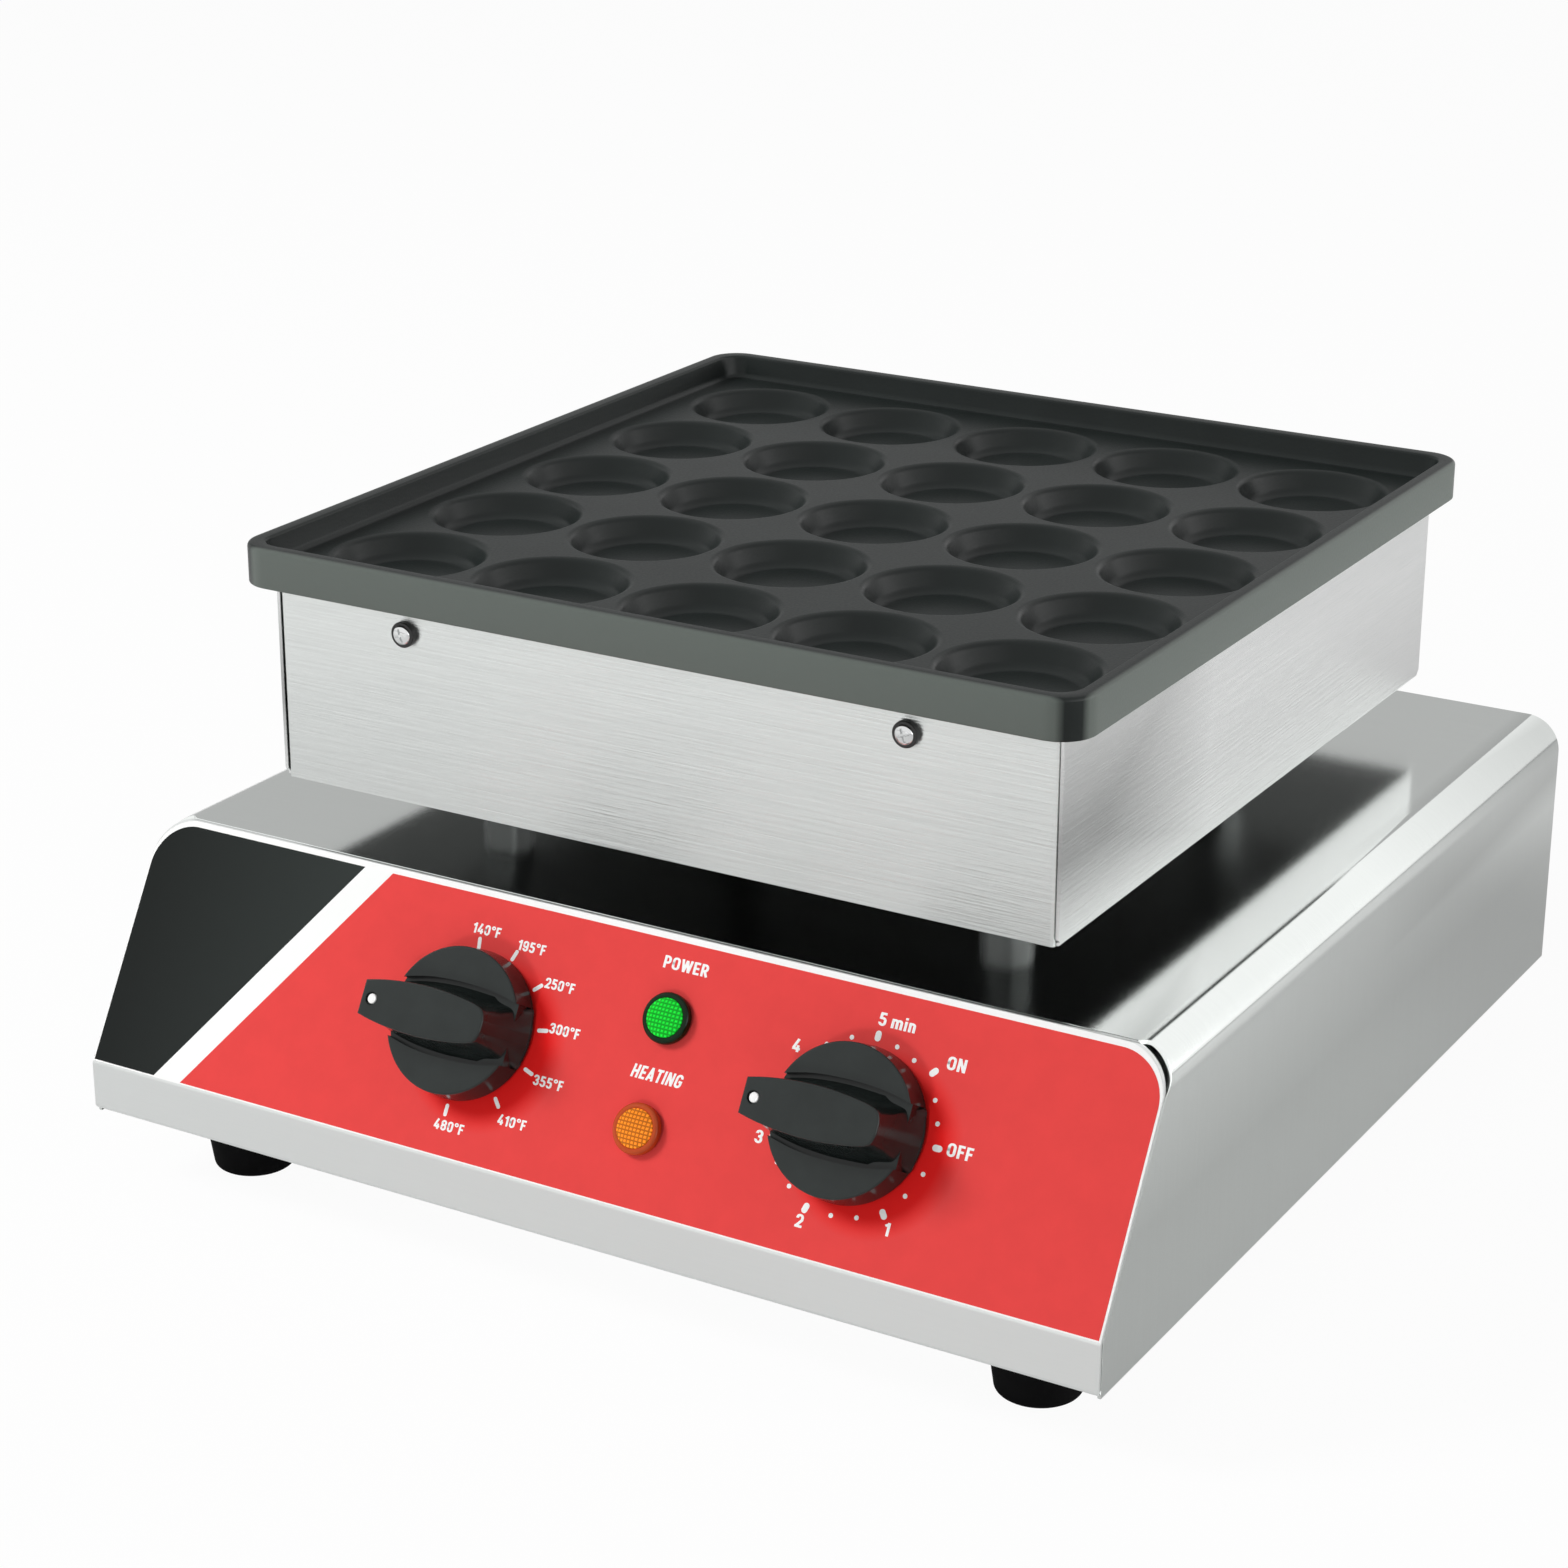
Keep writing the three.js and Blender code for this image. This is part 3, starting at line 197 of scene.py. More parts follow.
def circle(middle: Point, radius: float, steps: int = 48) -> list[Point]:
    """A closed circle of points."""
    return arc(middle, radius, 0, 360, steps)[:-1]


def obround(middle: Point, length: float, width: float, steps: int = 10) -> list[Point]:
    """A slot that stands along the second axis, with round ends."""
    half = (length - width) / 2
    x, y = middle
    return [
        *arc((x, y + half), width / 2, 0, 180, steps),
        *arc((x, y - half), width / 2, 180, 360, steps),
    ]


def rectangle(half_width: float, half_height: float) -> list[Point]:
    """A rectangle round the origin."""
    x, y = half_width, half_height
    return [(-x, -y), (x, -y), (x, y), (-x, y)]


def smooth_through(points: Sequence[Point], parts: int) -> list[Point]:
    """A smooth open line through points, with a number of parts between two of them."""
    line: list[Point] = []
    last = len(points) - 1
    for index in range(last):
        near = (max(index - 1, 0), index, index + 1, min(index + 2, last))
        p0, p1, p2, p3 = (Vector(points[k]) for k in near)
        for step in range(parts):
            t = step / parts
            spot = 0.5 * (
                2 * p1
                + (p2 - p0) * t
                + (2 * p0 - 5 * p1 + 4 * p2 - p3) * t**2
                + (3 * p1 - p0 - 3 * p2 + p3) * t**3
            )
            line.append(tuple(spot))
    line.append(tuple(points[-1]))
    return line


# Forms


class Form:
    """A closed form under construction, in millimetres."""

    def __init__(self) -> None:
        """Starts with nothing in it."""
        self.bm = bmesh.new()

    def skin(
        self, rings: Sequence[Sequence[Sequence[float]]], capped: tuple[bool, bool] = (True, True)
    ) -> "Form":
        """Joins closed rings of points with faces.

        Args:
            rings: Rings with as many points each.
            capped: Whether the first and the last ring are closed by a face.

        Returns:
            This form.
        """
        rows = [[self.bm.verts.new(point) for point in ring] for ring in rings]
        count = len(rows[0])
        for lower, upper in zip(rows, rows[1:]):
            for index in range(count):
                after = (index + 1) % count
                self.bm.faces.new((lower[index], lower[after], upper[after], upper[index]))
        if capped[0]:
            self.bm.faces.new(reversed(rows[0]))
        if capped[1]:
            self.bm.faces.new(rows[-1])
        return self

    def prism(self, outline: Sequence[Point], low: float, high: float) -> "Form":
        """Adds a flat outline drawn along z."""
        return self.skin([[(x, y, z) for x, y in outline] for z in (low, high)])

    def turned(self, profile: Sequence[Point], sides: int = 64) -> "Form":
        """Adds a form turned round z.

        Args:
            profile: Points as (radius, height), from the axis to the axis, or closed on itself.
            sides: Number of sides.

        Returns:
            This form.
        """
        closed = profile[0] == profile[-1]
        rows = []
        for radius, height in profile[:-1] if closed else profile:
            ring = circle((0, 0), radius, sides) if radius else [(0, 0)]
            rows.append([self.bm.verts.new((x, y, height)) for x, y in ring])
        if closed:
            rows.append(rows[0])
        for lower, upper in zip(rows, rows[1:]):
            for index in range(sides):
                after = (index + 1) % sides
                corners = (lower[index % len(lower)], lower[after % len(lower)])
                corners += (upper[after % len(upper)], upper[index % len(upper)])
                corners = tuple(dict.fromkeys(corners))
                if len(corners) > 2:
                    self.bm.faces.new(corners)
        return self

    def sheet(
        self,
        faces: Faces,
        start: Callable[[Point], Sequence[float]],
        end: Callable[[Point], Sequence[float]],
    ) -> "Form":
        """Adds a folded sheet drawn between two ends.

        Args:
            faces: Points of both faces of the sheet, in pairs.
            start: Gives the place of an outline point at the first end.
            end: Gives the place of an outline point at the last end.

        Returns:
            This form.
        """
        (near_a, far_a), (near_b, far_b) = [
            [[self.bm.verts.new(place(point)) for point in line] for line in faces]
            for place in (start, end)
        ]
        for i in range(len(near_a) - 1):
            self.bm.faces.new((near_a[i], near_a[i + 1], near_b[i + 1], near_b[i]))
            self.bm.faces.new((far_a[i + 1], far_a[i], far_b[i], far_b[i + 1]))
            self.bm.faces.new((far_a[i], far_a[i + 1], near_a[i + 1], near_a[i]))
            self.bm.faces.new((near_b[i], near_b[i + 1], far_b[i + 1], far_b[i]))
        self.bm.faces.new((near_a[0], near_b[0], far_b[0], far_a[0]))
        self.bm.faces.new((near_a[-1], far_a[-1], far_b[-1], near_b[-1]))
        return self

    def bevel(self, width: float) -> "Form":
        """Rounds the sharp edges by a width."""
        bmesh.ops.recalc_face_normals(self.bm, faces=self.bm.faces)
        edges = [
            edge
            for edge in self.bm.edges
            if len(edge.link_faces) == 2 and edge.calc_face_angle(0) > SHARP_BEVEL
        ]
        bmesh.ops.bevel(
            self.bm,
            geom=edges,
            offset=width,
            offset_type="OFFSET",
            segments=2,
            profile=0.5,
            affect="EDGES",
            clamp_overlap=True,
        )
        return self

    def placed(self, matrix: Matrix) -> "Form":
        """Moves all that the form holds so far."""
        bmesh.ops.transform(self.bm, matrix=matrix, verts=self.bm.verts)
        return self

    def raw(self, name: str) -> Object:
        """Makes an object of the form, still in millimetres and without a finish."""
        bmesh.ops.remove_doubles(self.bm, verts=self.bm.verts, dist=1e-4)
        bmesh.ops.recalc_face_normals(self.bm, faces=self.bm.faces)
        mesh = bpy.data.meshes.new(name)
        self.bm.to_mesh(mesh)
        self.bm.free()
        item = bpy.data.objects.new(name, mesh)
        bpy.context.scene.collection.objects.link(item)
        return item

    def made(self, name: str, material: Material, sharp: float = 32) -> Object:
        """Makes a finished piece of the form, in metres."""
        return finished(self.raw(name), material, sharp)


def apply_modifiers(item: Object) -> None:
    """Turns an object with modifiers into a plain mesh."""
    graph = bpy.context.evaluated_depsgraph_get()
    mesh = bpy.data.meshes.new_from_object(item.evaluated_get(graph), depsgraph=graph)
    item.modifiers.clear()
    item.data = mesh


def finished(
    item: Object, material: Material, sharp: float = 32, weighted: bool = True
) -> Object:
    """Scales an object from millimetres to metres, shades it and gives it its material.

    Args:
        item: The object.
        material: Its material.
        sharp: Angle over which an edge stays sharp, in degrees.
        weighted: Whether large faces keep flat next to narrow ones.

    Returns:
        The object.
    """
    bm = bmesh.new()
    bm.from_mesh(item.data)
    bmesh.ops.recalc_face_normals(bm, faces=bm.faces)
    bmesh.ops.scale(bm, vec=(MM, MM, MM), verts=bm.verts)
    for face in bm.faces:
        face.smooth = True
        face.material_index = 0
    for edge in bm.edges:
        edge.smooth = edge.calc_face_angle(0) < math.radians(sharp)
    mesh = bpy.data.meshes.new(item.name)
    bm.to_mesh(mesh)
    bm.free()
    mesh.materials.append(material)
    item.data = mesh
    if weighted:
        normals = item.modifiers.new("normals", "WEIGHTED_NORMAL")
        normals.keep_sharp = True
        apply_modifiers(item)
    return item


def combined(body: Object, operation: str, *tools: Form | Object) -> None:
    """Joins closed forms to a body, cuts them out of it, or keeps what they have in common.

    Args:
        body: Object that changes.
        operation: UNION, DIFFERENCE or INTERSECT.
        tools: The other forms, which are used up.
    """
    for tool in tools:
        item = tool.raw("tool") if isinstance(tool, Form) else tool
        step = body.modifiers.new("combine", "BOOLEAN")
        step.operation = operation
        step.solver = "EXACT"
        step.object = item
        apply_modifiers(body)
        bpy.data.objects.remove(item)


# Node trees


class Wiring:
    """A node tree while it is being wired."""

    def __init__(self, tree: bpy.types.NodeTree) -> None:
        """Takes the tree to wire."""
        self.tree = tree

    def node(self, kind: str, **settings: object) -> bpy.types.Node:
        """Adds a node and sets its properties."""
        made = self.tree.nodes.new(kind)
        for key, value in settings.items():
            setattr(made, key, value)
        return made

    def put(self, value: object, socket: Socket) -> None:
        """Links a socket, or sets its value."""
        if isinstance(value, Socket):
            self.tree.links.new(value, socket)
        else:
            socket.default_value = value

    def fed(self, kind: str, *values: object, **settings: object) -> bpy.types.Node:
        """Adds a node and feeds its first inputs."""
        made = self.node(kind, **settings)
        for value, socket in zip(values, made.inputs):
            self.put(value, socket)
        return made

    def math(self, operation: str, *values: object) -> Socket:
        """Adds a Math node and gives its result."""
        return self.fed("ShaderNodeMath", *values, operation=operation).outputs[0]

    def vector(self, operation: str, *values: object) -> bpy.types.Node:
        """Adds a Vector Math node and gives it."""
        return self.fed("ShaderNodeVectorMath", *values, operation=operation)

    def scaled(self, value: object, factor: object) -> Socket:
        """Scales a vector."""
        made = self.vector("SCALE", value)
        self.put(factor, made.inputs["Scale"])
        return made.outputs[0]

    def split(self, value: object) -> list[Socket]:
        """Gives the three parts of a vector."""
        return list(self.fed("ShaderNodeSeparateXYZ", value).outputs)

    def ramp(self, value: object, low: float, high: float, to: Point = (0, 1)) -> Socket:
        """Maps a value between two limits to a range, and holds it there."""
        return self.fed("ShaderNodeMapRange", value, low, high, *to, clamp=True).outputs[0]

    def mix(self, share: object, first: object, second: object) -> Socket:
        """Mixes two colours."""
        made = self.node("ShaderNodeMix", data_type="RGBA")
        for value, index in ((share, 0), (first, 6), (second, 7)):
            self.put(value, made.inputs[index])
        return made.outputs[2]

    def named(self, kind: str, values: dict[str, object], **settings: object) -> bpy.types.Node:
        """Adds a node and feeds its inputs by their names."""
        made = self.node(kind, **settings)
        for label, value in values.items():
            self.put(value, made.inputs[label])
        return made

    def noise(self, place: object, scale: float, detail: float, rough: float) -> Socket:
        """Adds a Noise texture and gives its value."""
        values = {"Vector": place, "Scale": scale, "Detail": detail, "Roughness": rough}
        return self.named("ShaderNodeTexNoise", values).outputs[0]

    def bump(self, height: object, strength: float, distance: float = GRAIN_DEPTH) -> Socket:
        """Adds a Bump node and gives its normal."""
        values = {"Strength": strength, "Distance": distance, "Height": height}
        return self.named("ShaderNodeBump", values).outputs[0]

    def on_slant(self, place: object, origin: Spot, slant: float) -> Socket:
        """Turns a place into one on the slanted face, with the origin in millimetres."""
        made = self.fed("ShaderNodeMapping", place, vector_type="TEXTURE")
        made.inputs["Location"].default_value = tuple(part * MM for part in origin)
        made.inputs["Rotation"].default_value = (slant, 0, 0)
        return made.outputs[0]


def shader_group(
    name: str, inputs: dict[str, str], outputs: Sequence[str]
) -> tuple[bpy.types.NodeTree, Wiring, list[Socket], list[Socket]]:
    """Makes an empty shader node group.

    Args:
        name: Name of the group.
        inputs: Kind of each input by its name.
        outputs: Names of its outputs, which are values.

    Returns:
        The group, its wiring, and the sockets to read and to feed.
    """
    tree = bpy.data.node_groups.new(name, "ShaderNodeTree")
    for label, kind in inputs.items():
        tree.interface.new_socket(label, in_out="INPUT", socket_type=f"NodeSocket{kind}")
    for label in outputs:
        tree.interface.new_socket(label, in_out="OUTPUT", socket_type="NodeSocketFloat")
    w = Wiring(tree)
    given = list(w.node("NodeGroupInput").outputs)
    return tree, w, given, list(w.node("NodeGroupOutput").inputs)


def brush_lines() -> bpy.types.NodeTree:
    """Group for brushed sheet: fine lines, broad streaks and soft stains, each from 0 to 1."""
    inputs = {"Place": "Vector", "Fineness": "Float"}
    tree, w, given, results = shader_group("brush_lines", inputs, ("Lines", "Streaks", "Stains"))
    place, fineness = given[:2]
    fine = w.scaled(place, fineness)
    w.put(w.ramp(w.noise(fine, 9.0, 4.0, 0.7), 0.25, 0.75), results[0])
    w.put(w.ramp(w.noise(fine, 1.6, 3.0, 0.6), 0.3, 0.7), results[1])
    w.put(w.ramp(w.noise(place, 0.8, 2.0, 0.5), 0.3, 0.7), results[2])
    return tree


def fine_grain() -> bpy.types.NodeTree:
    """Group for cast and moulded faces: small grain, and slow patches where they are rubbed."""
    inputs = {"Place": "Vector", "Size": "Float"}
    tree, w, given, results = shader_group("fine_grain", inputs, ("Grain", "Patches"))
    place, size = given[:2]
    cells = w.scaled(place, w.math("DIVIDE", 1.0, size))
    w.put(w.ramp(w.noise(cells, 1.0, 3.0, 0.6), 0.3, 0.7), results[0])
    w.put(w.ramp(w.noise(cells, 0.04, 3.0, 0.55), 0.35, 0.65), results[1])
    return tree


class Groups:
    """The shader groups, each made once."""

    made: dict[str, bpy.types.NodeTree] = {}

    @classmethod
    def place(
        cls, w: Wiring, maker: Callable[[], bpy.types.NodeTree], *values: object
    ) -> list[Socket]:
        """Places a shader group in a tree and gives its outputs."""
        if maker.__name__ not in cls.made:
            cls.made[maker.__name__] = maker()
        made = w.node("ShaderNodeGroup", node_tree=cls.made[maker.__name__])
        for value, socket in zip(values, made.inputs):
            w.put(value, socket)
        return list(made.outputs)


# Finishes


def rgba(colour: Colour, share: float = 1) -> tuple[float, float, float, float]:
    """A colour with its alpha, made darker or lighter by a share."""
    return (*(min(part * share, 1) for part in colour), 1)


class Grain(Enum):
    """Way that the brushing runs on a sheet piece: axis it goes round, and stretch of the noise."""

    AROUND_Z = ("Z", (1.2, 1.2, 60.0))
    AROUND_Y = ("Y", (1.0, 70.0, 1.0))
    ALONG_X = ("Z", (1.0, 55.0, 55.0))


@dataclass(frozen=True)
class Finish:
    """A finish that can be put on pieces. Its colours are linear."""

    name: str

    def build(self) -> Material:
        """Makes the material."""
        material = bpy.data.materials.new(self.name)
        material.use_nodes = True
        w = Wiring(material.node_tree)
        place = w.node("ShaderNodeTexCoord").outputs["Object"]
        shader = material.node_tree.nodes["Principled BSDF"]
        for label, value in self.looks(w, place).items():
            w.put(value, shader.inputs[label])
        return material

    def looks(self, w: Wiring, place: Socket) -> dict[str, object]:
        """Wires the finish.

        Args:
            w: Wiring of the material.
            place: Place of the point shaded, in metres.

        Returns:
            What goes into the shader, by the names of its inputs.
        """
        raise NotImplementedError


@dataclass(frozen=True)
class PaintedReflection:
    """A softly bounded part of a sheet that is painted darker, as a painted reflection of darker
    surroundings.

    Each ramp goes along an axis, from where the zone holds to where it has ended.
    """

    share: float
    ramps: tuple[tuple[int, float, float], ...]


@dataclass(frozen=True)
class BrushedSteel(Finish):
    """Brushed stainless sheet."""

    grain: Grain = Grain.AROUND_Z
    colour: Colour = (0.80, 0.81, 0.80)
    roughness: float = 0.28
    anisotropy: float = 0.94
    contrast: float = 0.07
    relief: float = 0.25
    fineness: float = 14.0
    painted_shade_below: float | None = None
    painted_reflections: tuple[PaintedReflection, ...] = ()
    painted_shade: Colour = (0.008, 0.009, 0.009)

    def looks(self, w: Wiring, place: Socket) -> dict[str, object]:
        """Wires the brushed lines, the zones painted darker as painted reflections, and the
        underside painted near-black as painted shade.
        """
        axis, stretch = self.grain.value
        contrast = self.contrast
        along = w.vector("MULTIPLY", place, stretch).outputs[0]
        lines, streaks, stains = Groups.place(w, brush_lines, along, self.fineness)
        level = w.math("ADD", w.math("MULTIPLY", lines, 0.5), w.math("MULTIPLY", streaks, 0.5))
        grooves = w.math("MULTIPLY_ADD", lines, 0.08, w.math("MULTIPLY", streaks, 0.92))
        colour = w.mix(level, rgba(self.colour, 1 - contrast), rgba(self.colour, 1 + contrast))
        rough = self.roughness - 0.4 * contrast
        rough = w.math("MULTIPLY_ADD", level, 0.7 * contrast, rough)
        rough = w.math("MULTIPLY_ADD", stains, 0.2 * contrast, rough)
        parts = w.split(place)
        # Painted reflections: each zone scales the colour down where the sheet should mirror darker
        # surroundings.
        for zone in self.painted_reflections:
            clear = 0.0
            for way, start, end in zone.ramps:
                clear = w.math("MAXIMUM", clear, w.ramp(parts[way], start * MM, end * MM))
            colour = w.scaled(colour, w.ramp(clear, 0, 1, (zone.share, 1)))
        # Painted shade: below this height the colour turns near-black, standing in for the shade
        # under the box.
        if self.painted_shade_below is not None:
            low, high = self.painted_shade_below * MM, (self.painted_shade_below + 0.3) * MM
            colour = w.mix(w.ramp(parts[Z_AXIS], low, high), rgba(self.painted_shade), colour)
        tangent = w.node("ShaderNodeTangent", direction_type="RADIAL", axis=axis)
        return {
            "Base Color": colour,
            "Roughness": rough,
            "Normal": w.bump(grooves, self.relief),
            "Metallic": 1,
            "Anisotropic": self.anisotropy,
            "Anisotropic Rotation": 0.25,
            "Tangent": tangent.outputs[0],
        }


@dataclass(frozen=True)
class SmoothMetal(Finish):
    """Plain metal of small parts, from polished to satin."""

    colour: Colour = (0.75, 0.76, 0.77)
    roughness: float = 0.12
    grain: float = 0.6
    relief: float = 0.05
    metallic: float = 1

    def looks(self, w: Wiring, place: Socket) -> dict[str, object]:
        """Wires the grain and the handled patches."""
        grain, patches = Groups.place(w, fine_grain, place, self.grain * MM)
        return {
            "Base Color": w.mix(patches, rgba(self.colour, 0.85), rgba(self.colour)),
            "Roughness": w.math("MULTIPLY_ADD", grain, 0.05, self.roughness),
            "Normal": w.bump(grain, self.relief),
            "Metallic": self.metallic,
        }


@dataclass(frozen=True)
class Moulded(Finish):
    """Moulded plastic, rubber or ceramic."""

    colour: Colour = (0.02, 0.02, 0.02)
    roughness: float = 0.35
    grain: float = 0.5
    relief: float = 0.08
    specular: float = 0.5
    worn: float = 0.15

    def looks(self, w: Wiring, place: Socket) -> dict[str, object]:
        """Wires the grain and the worn patches."""
        grain, patches = Groups.place(w, fine_grain, place, self.grain * MM)
        lighter = tuple(part * (1 + self.worn) + 0.002 for part in self.colour)
        rough = w.math("MULTIPLY_ADD", grain, 0.06, self.roughness)
        return {
            "Base Color": w.mix(patches, rgba(self.colour), rgba(lighter)),
            "Roughness": w.math("MULTIPLY_ADD", patches, 0.08, rough),
            "Normal": w.bump(grain, self.relief),
            "Specular IOR Level": self.specular,
        }


@dataclass(frozen=True)
class NonStickCoating(Finish):
    """Dark non-stick coating on a casting, with the outer sides of the rim painted lighter as a
    painted sheen.
    """

    colour: Colour = (0.011, 0.0145, 0.0137)
    painted_sheen_colour: Colour = (0.113, 0.13, 0.118)
    half_width: float = 151
    half_depth: float = 152
    middle_y: float = 1.8
    blend: Point = (-1.6, -0.4)
    roughness: float = 0.3

    def looks(self, w: Wiring, place: Socket) -> dict[str, object]:
        """Wires the coating and the painted sheen on the outer sides."""
        grain, patches = Groups.place(w, fine_grain, place, 0.9 * MM)
        x, y, _ = w.split(place)
        x = w.math("ABSOLUTE", x)
        y = w.math("ABSOLUTE", w.math("SUBTRACT", y, self.middle_y * MM))
        far_x = w.math("SUBTRACT", x, self.half_width * MM)
        far_y = w.math("SUBTRACT", y, self.half_depth * MM)
        low, high = (limit * MM for limit in self.blend)
        # Painted sheen: the outer sides of the rim get a lighter colour than the coating.
        painted_sheen_side = w.ramp(w.math("MAXIMUM", far_x, far_y), low, high)
        coat = w.mix(patches, rgba(self.colour), rgba(self.colour, 1.25))
        return {
            "Base Color": w.mix(painted_sheen_side, coat, rgba(self.painted_sheen_colour)),
            "Roughness": w.math("MULTIPLY_ADD", grain, 0.08, self.roughness),
            "Normal": w.bump(grain, 0.1, 2 * GRAIN_DEPTH),
            "Specular IOR Level": 0.22,
        }


@dataclass(frozen=True)
class PrintedFilm(Finish):
    """Printed film in red, with a black field, a white band at its left end, and a painted shadow
    in deeper red beside each dial.
    """

    origin: Spot
    slant: float
    dials: tuple[Point, ...]
    band_foot: Point = (-154.7, 0.4)
    band_head: Point = (-95.4, 84.2)
    band_width: float = 9
    band_edge: float = 0.05
    red: Colour = (0.77, 0.065, 0.062)
    painted_shadow_red: Colour = (0.77 * 1.08, 0.014, 0.013)
    white: Colour = (0.95, 0.96, 0.95)
    black: Colour = (0.016, 0.019, 0.018)
    fade_from: float = -180
    fade_to: float = -80
    painted_shadow_shift: Point = (8, -4)
    painted_shadow_reach: Point = (22, 29)

    def looks(self, w: Wiring, place: Socket) -> dict[str, object]:
        """Wires the fields, the band and the painted shadow, a deeper red beside each dial."""
        spot = w.on_slant(place, self.origin, self.slant)
        way = (Vector(self.band_head) - Vector(self.band_foot)).normalized()
        normal = (way.y, -way.x, 0)
        past = w.vector("DOT_PRODUCT", spot, normal).outputs["Value"]
        middle = Vector(self.band_foot).dot(Vector(normal[:2]))
        limits = [(middle + side * self.band_width / 2) * MM for side in (-1, 1)]
        to_white, to_red = (w.ramp(past, edge, edge + self.band_edge * MM) for edge in limits)
        lighter = w.ramp(w.split(spot)[X_AXIS], self.fade_from * MM, self.fade_to * MM)
        black = w.mix(lighter, rgba(self.black, 0.7), rgba(self.black, 2.2))
        grain, patches = Groups.place(w, fine_grain, place, 0.35 * MM)
        red = w.mix(patches, rgba(self.red), rgba(self.red, 1.04))
        inner, outer = (reach * MM for reach in self.painted_shadow_reach)
        # Painted shadow: beside each dial the red turns deeper, in a ring shifted right and down
        # from the dial.
        for x, y in self.dials:
            centre = ((x + self.painted_shadow_shift[0]) * MM, (y + self.painted_shadow_shift[1]) * MM, 0)
            far = w.vector("DISTANCE", spot, centre).outputs["Value"]
            red = w.mix(w.ramp(far, inner, outer), rgba(self.painted_shadow_red), red)
        return {
            "Base Color": w.mix(to_red, w.mix(to_white, black, rgba(self.white)), red),
            "Roughness": w.math("MULTIPLY_ADD", grain, 0.06, 0.42),
            "Normal": w.bump(grain, 0.06),
            "Specular IOR Level": 0.12,
        }


@dataclass(frozen=True)
class LampGlass(Finish):
    """Clear coloured plastic of a lamp that is lit from behind."""

    colour: Colour
    glow: float
    origin: Spot
    slant: float
    roughness: float = 0.2
    cell: float = 1.3

    def looks(self, w: Wiring, place: Socket) -> dict[str, object]:
        """Wires the grid of ridges and the glow."""
        waves = []
        for part in w.split(w.on_slant(place, self.origin, self.slant))[:2]:
            turn = w.math("MULTIPLY", part, math.tau / (self.cell * MM))
            waves.append(w.math("COSINE", turn))
        ridge = w.ramp(w.math("MINIMUM", *waves), -1.0, 0.6)
        grain, patches = Groups.place(w, fine_grain, place, 0.8 * MM)
        dark = rgba(self.colour, 0.3)
        shade = w.mix(ridge, dark, rgba(self.colour))
        shade = w.mix(w.math("MULTIPLY", patches, 0.25), shade, dark)
        return {
            "Base Color": shade,
            "Emission Color": shade,
            "Emission Strength": self.glow,
            "Roughness": w.math("MULTIPLY_ADD", grain, 0.05, self.roughness),
            "Specular IOR Level": 0.12,
        }


@dataclass(frozen=True)
class Braid(Finish):
    """Woven glass-fibre sleeve over a lead."""

    colour: Colour = (0.7, 0.66, 0.56)
    pitch: float = 1.2

    def looks(self, w: Wiring, place: Socket) -> dict[str, object]:
        """Wires the weave."""
        heights = []
        for way in ((1, 1, 1), (-1, 1, -1)):
            turn = w.vector("DOT_PRODUCT", place, way).outputs["Value"]
            heights.append(w.math("SINE", w.math("MULTIPLY", turn, math.tau / (self.pitch * MM))))
        weave = w.ramp(w.math("MAXIMUM", *heights), -0.2, 1)
        return {
            "Base Color": w.mix(weave, rgba(self.colour, 0.55), rgba(self.colour)),
            "Roughness": w.math("MULTIPLY_ADD", weave, -0.1, 0.85),
            "Normal": w.bump(weave, 0.5, 3 * GRAIN_DEPTH),
        }


# Patterns


class Pattern:
    """A Geometry Nodes tree that repeats a form, with named inputs."""

    def __init__(self, name: str, inputs: dict[str, str]) -> None:
        """Makes the tree and its sockets.

        Args:
            name: Name of the tree.
            inputs: Kinds of its own inputs by name. They come after the form.
        """
        self.tree = bpy.data.node_groups.new(name, "GeometryNodeTree")
        face = self.tree.interface
        kinds = {"Form": "Geometry", **inputs, "Merge": "Float", "Material": "Material"}
        for label, kind in kinds.items():
            face.new_socket(label, in_out="INPUT", socket_type=f"NodeSocket{kind}")
        face.new_socket("Result", in_out="OUTPUT", socket_type="NodeSocketGeometry")
        self.w = Wiring(self.tree)
        start = self.w.node("NodeGroupInput")
        self.given = {socket.name: socket for socket in start.outputs if socket.name}
        self.end = self.w.node("NodeGroupOutput")

    def close(self, points: Socket, turns: dict[str, object]) -> None:
        """Puts the form on points and ends the tree in real geometry with its material."""
        w, given = self.w, self.given
        spread = {"Points": points, "Instance": given["Form"], **turns}
        copies = w.named("GeometryNodeInstanceOnPoints", spread).outputs[0]
        real = w.named("GeometryNodeRealizeInstances", {"Geometry": copies}).outputs[0]
        merge = {"Geometry": real, "Distance": given["Merge"]}
        merged = w.named("GeometryNodeMergeByDistance", merge).outputs[0]
        dress = {"Geometry": merged, "Material": given["Material"]}
        w.put(w.named("GeometryNodeSetMaterial", dress).outputs[0], self.end.inputs[0])

    def run(self, item: Object, values: dict[str, object]) -> None:
        """Runs the tree on an object and turns the result into a plain mesh.

        Args:
            item: Object that holds the form.
            values: Input values by name. Those that are None aren't set.
        """
        step = item.modifiers.new("pattern", "NODES")
        step.node_group = self.tree
        for entry in self.tree.interface.items_tree:
            if values.get(entry.name) is not None:
                step[entry.identifier] = values[entry.name]
        apply_modifiers(item)


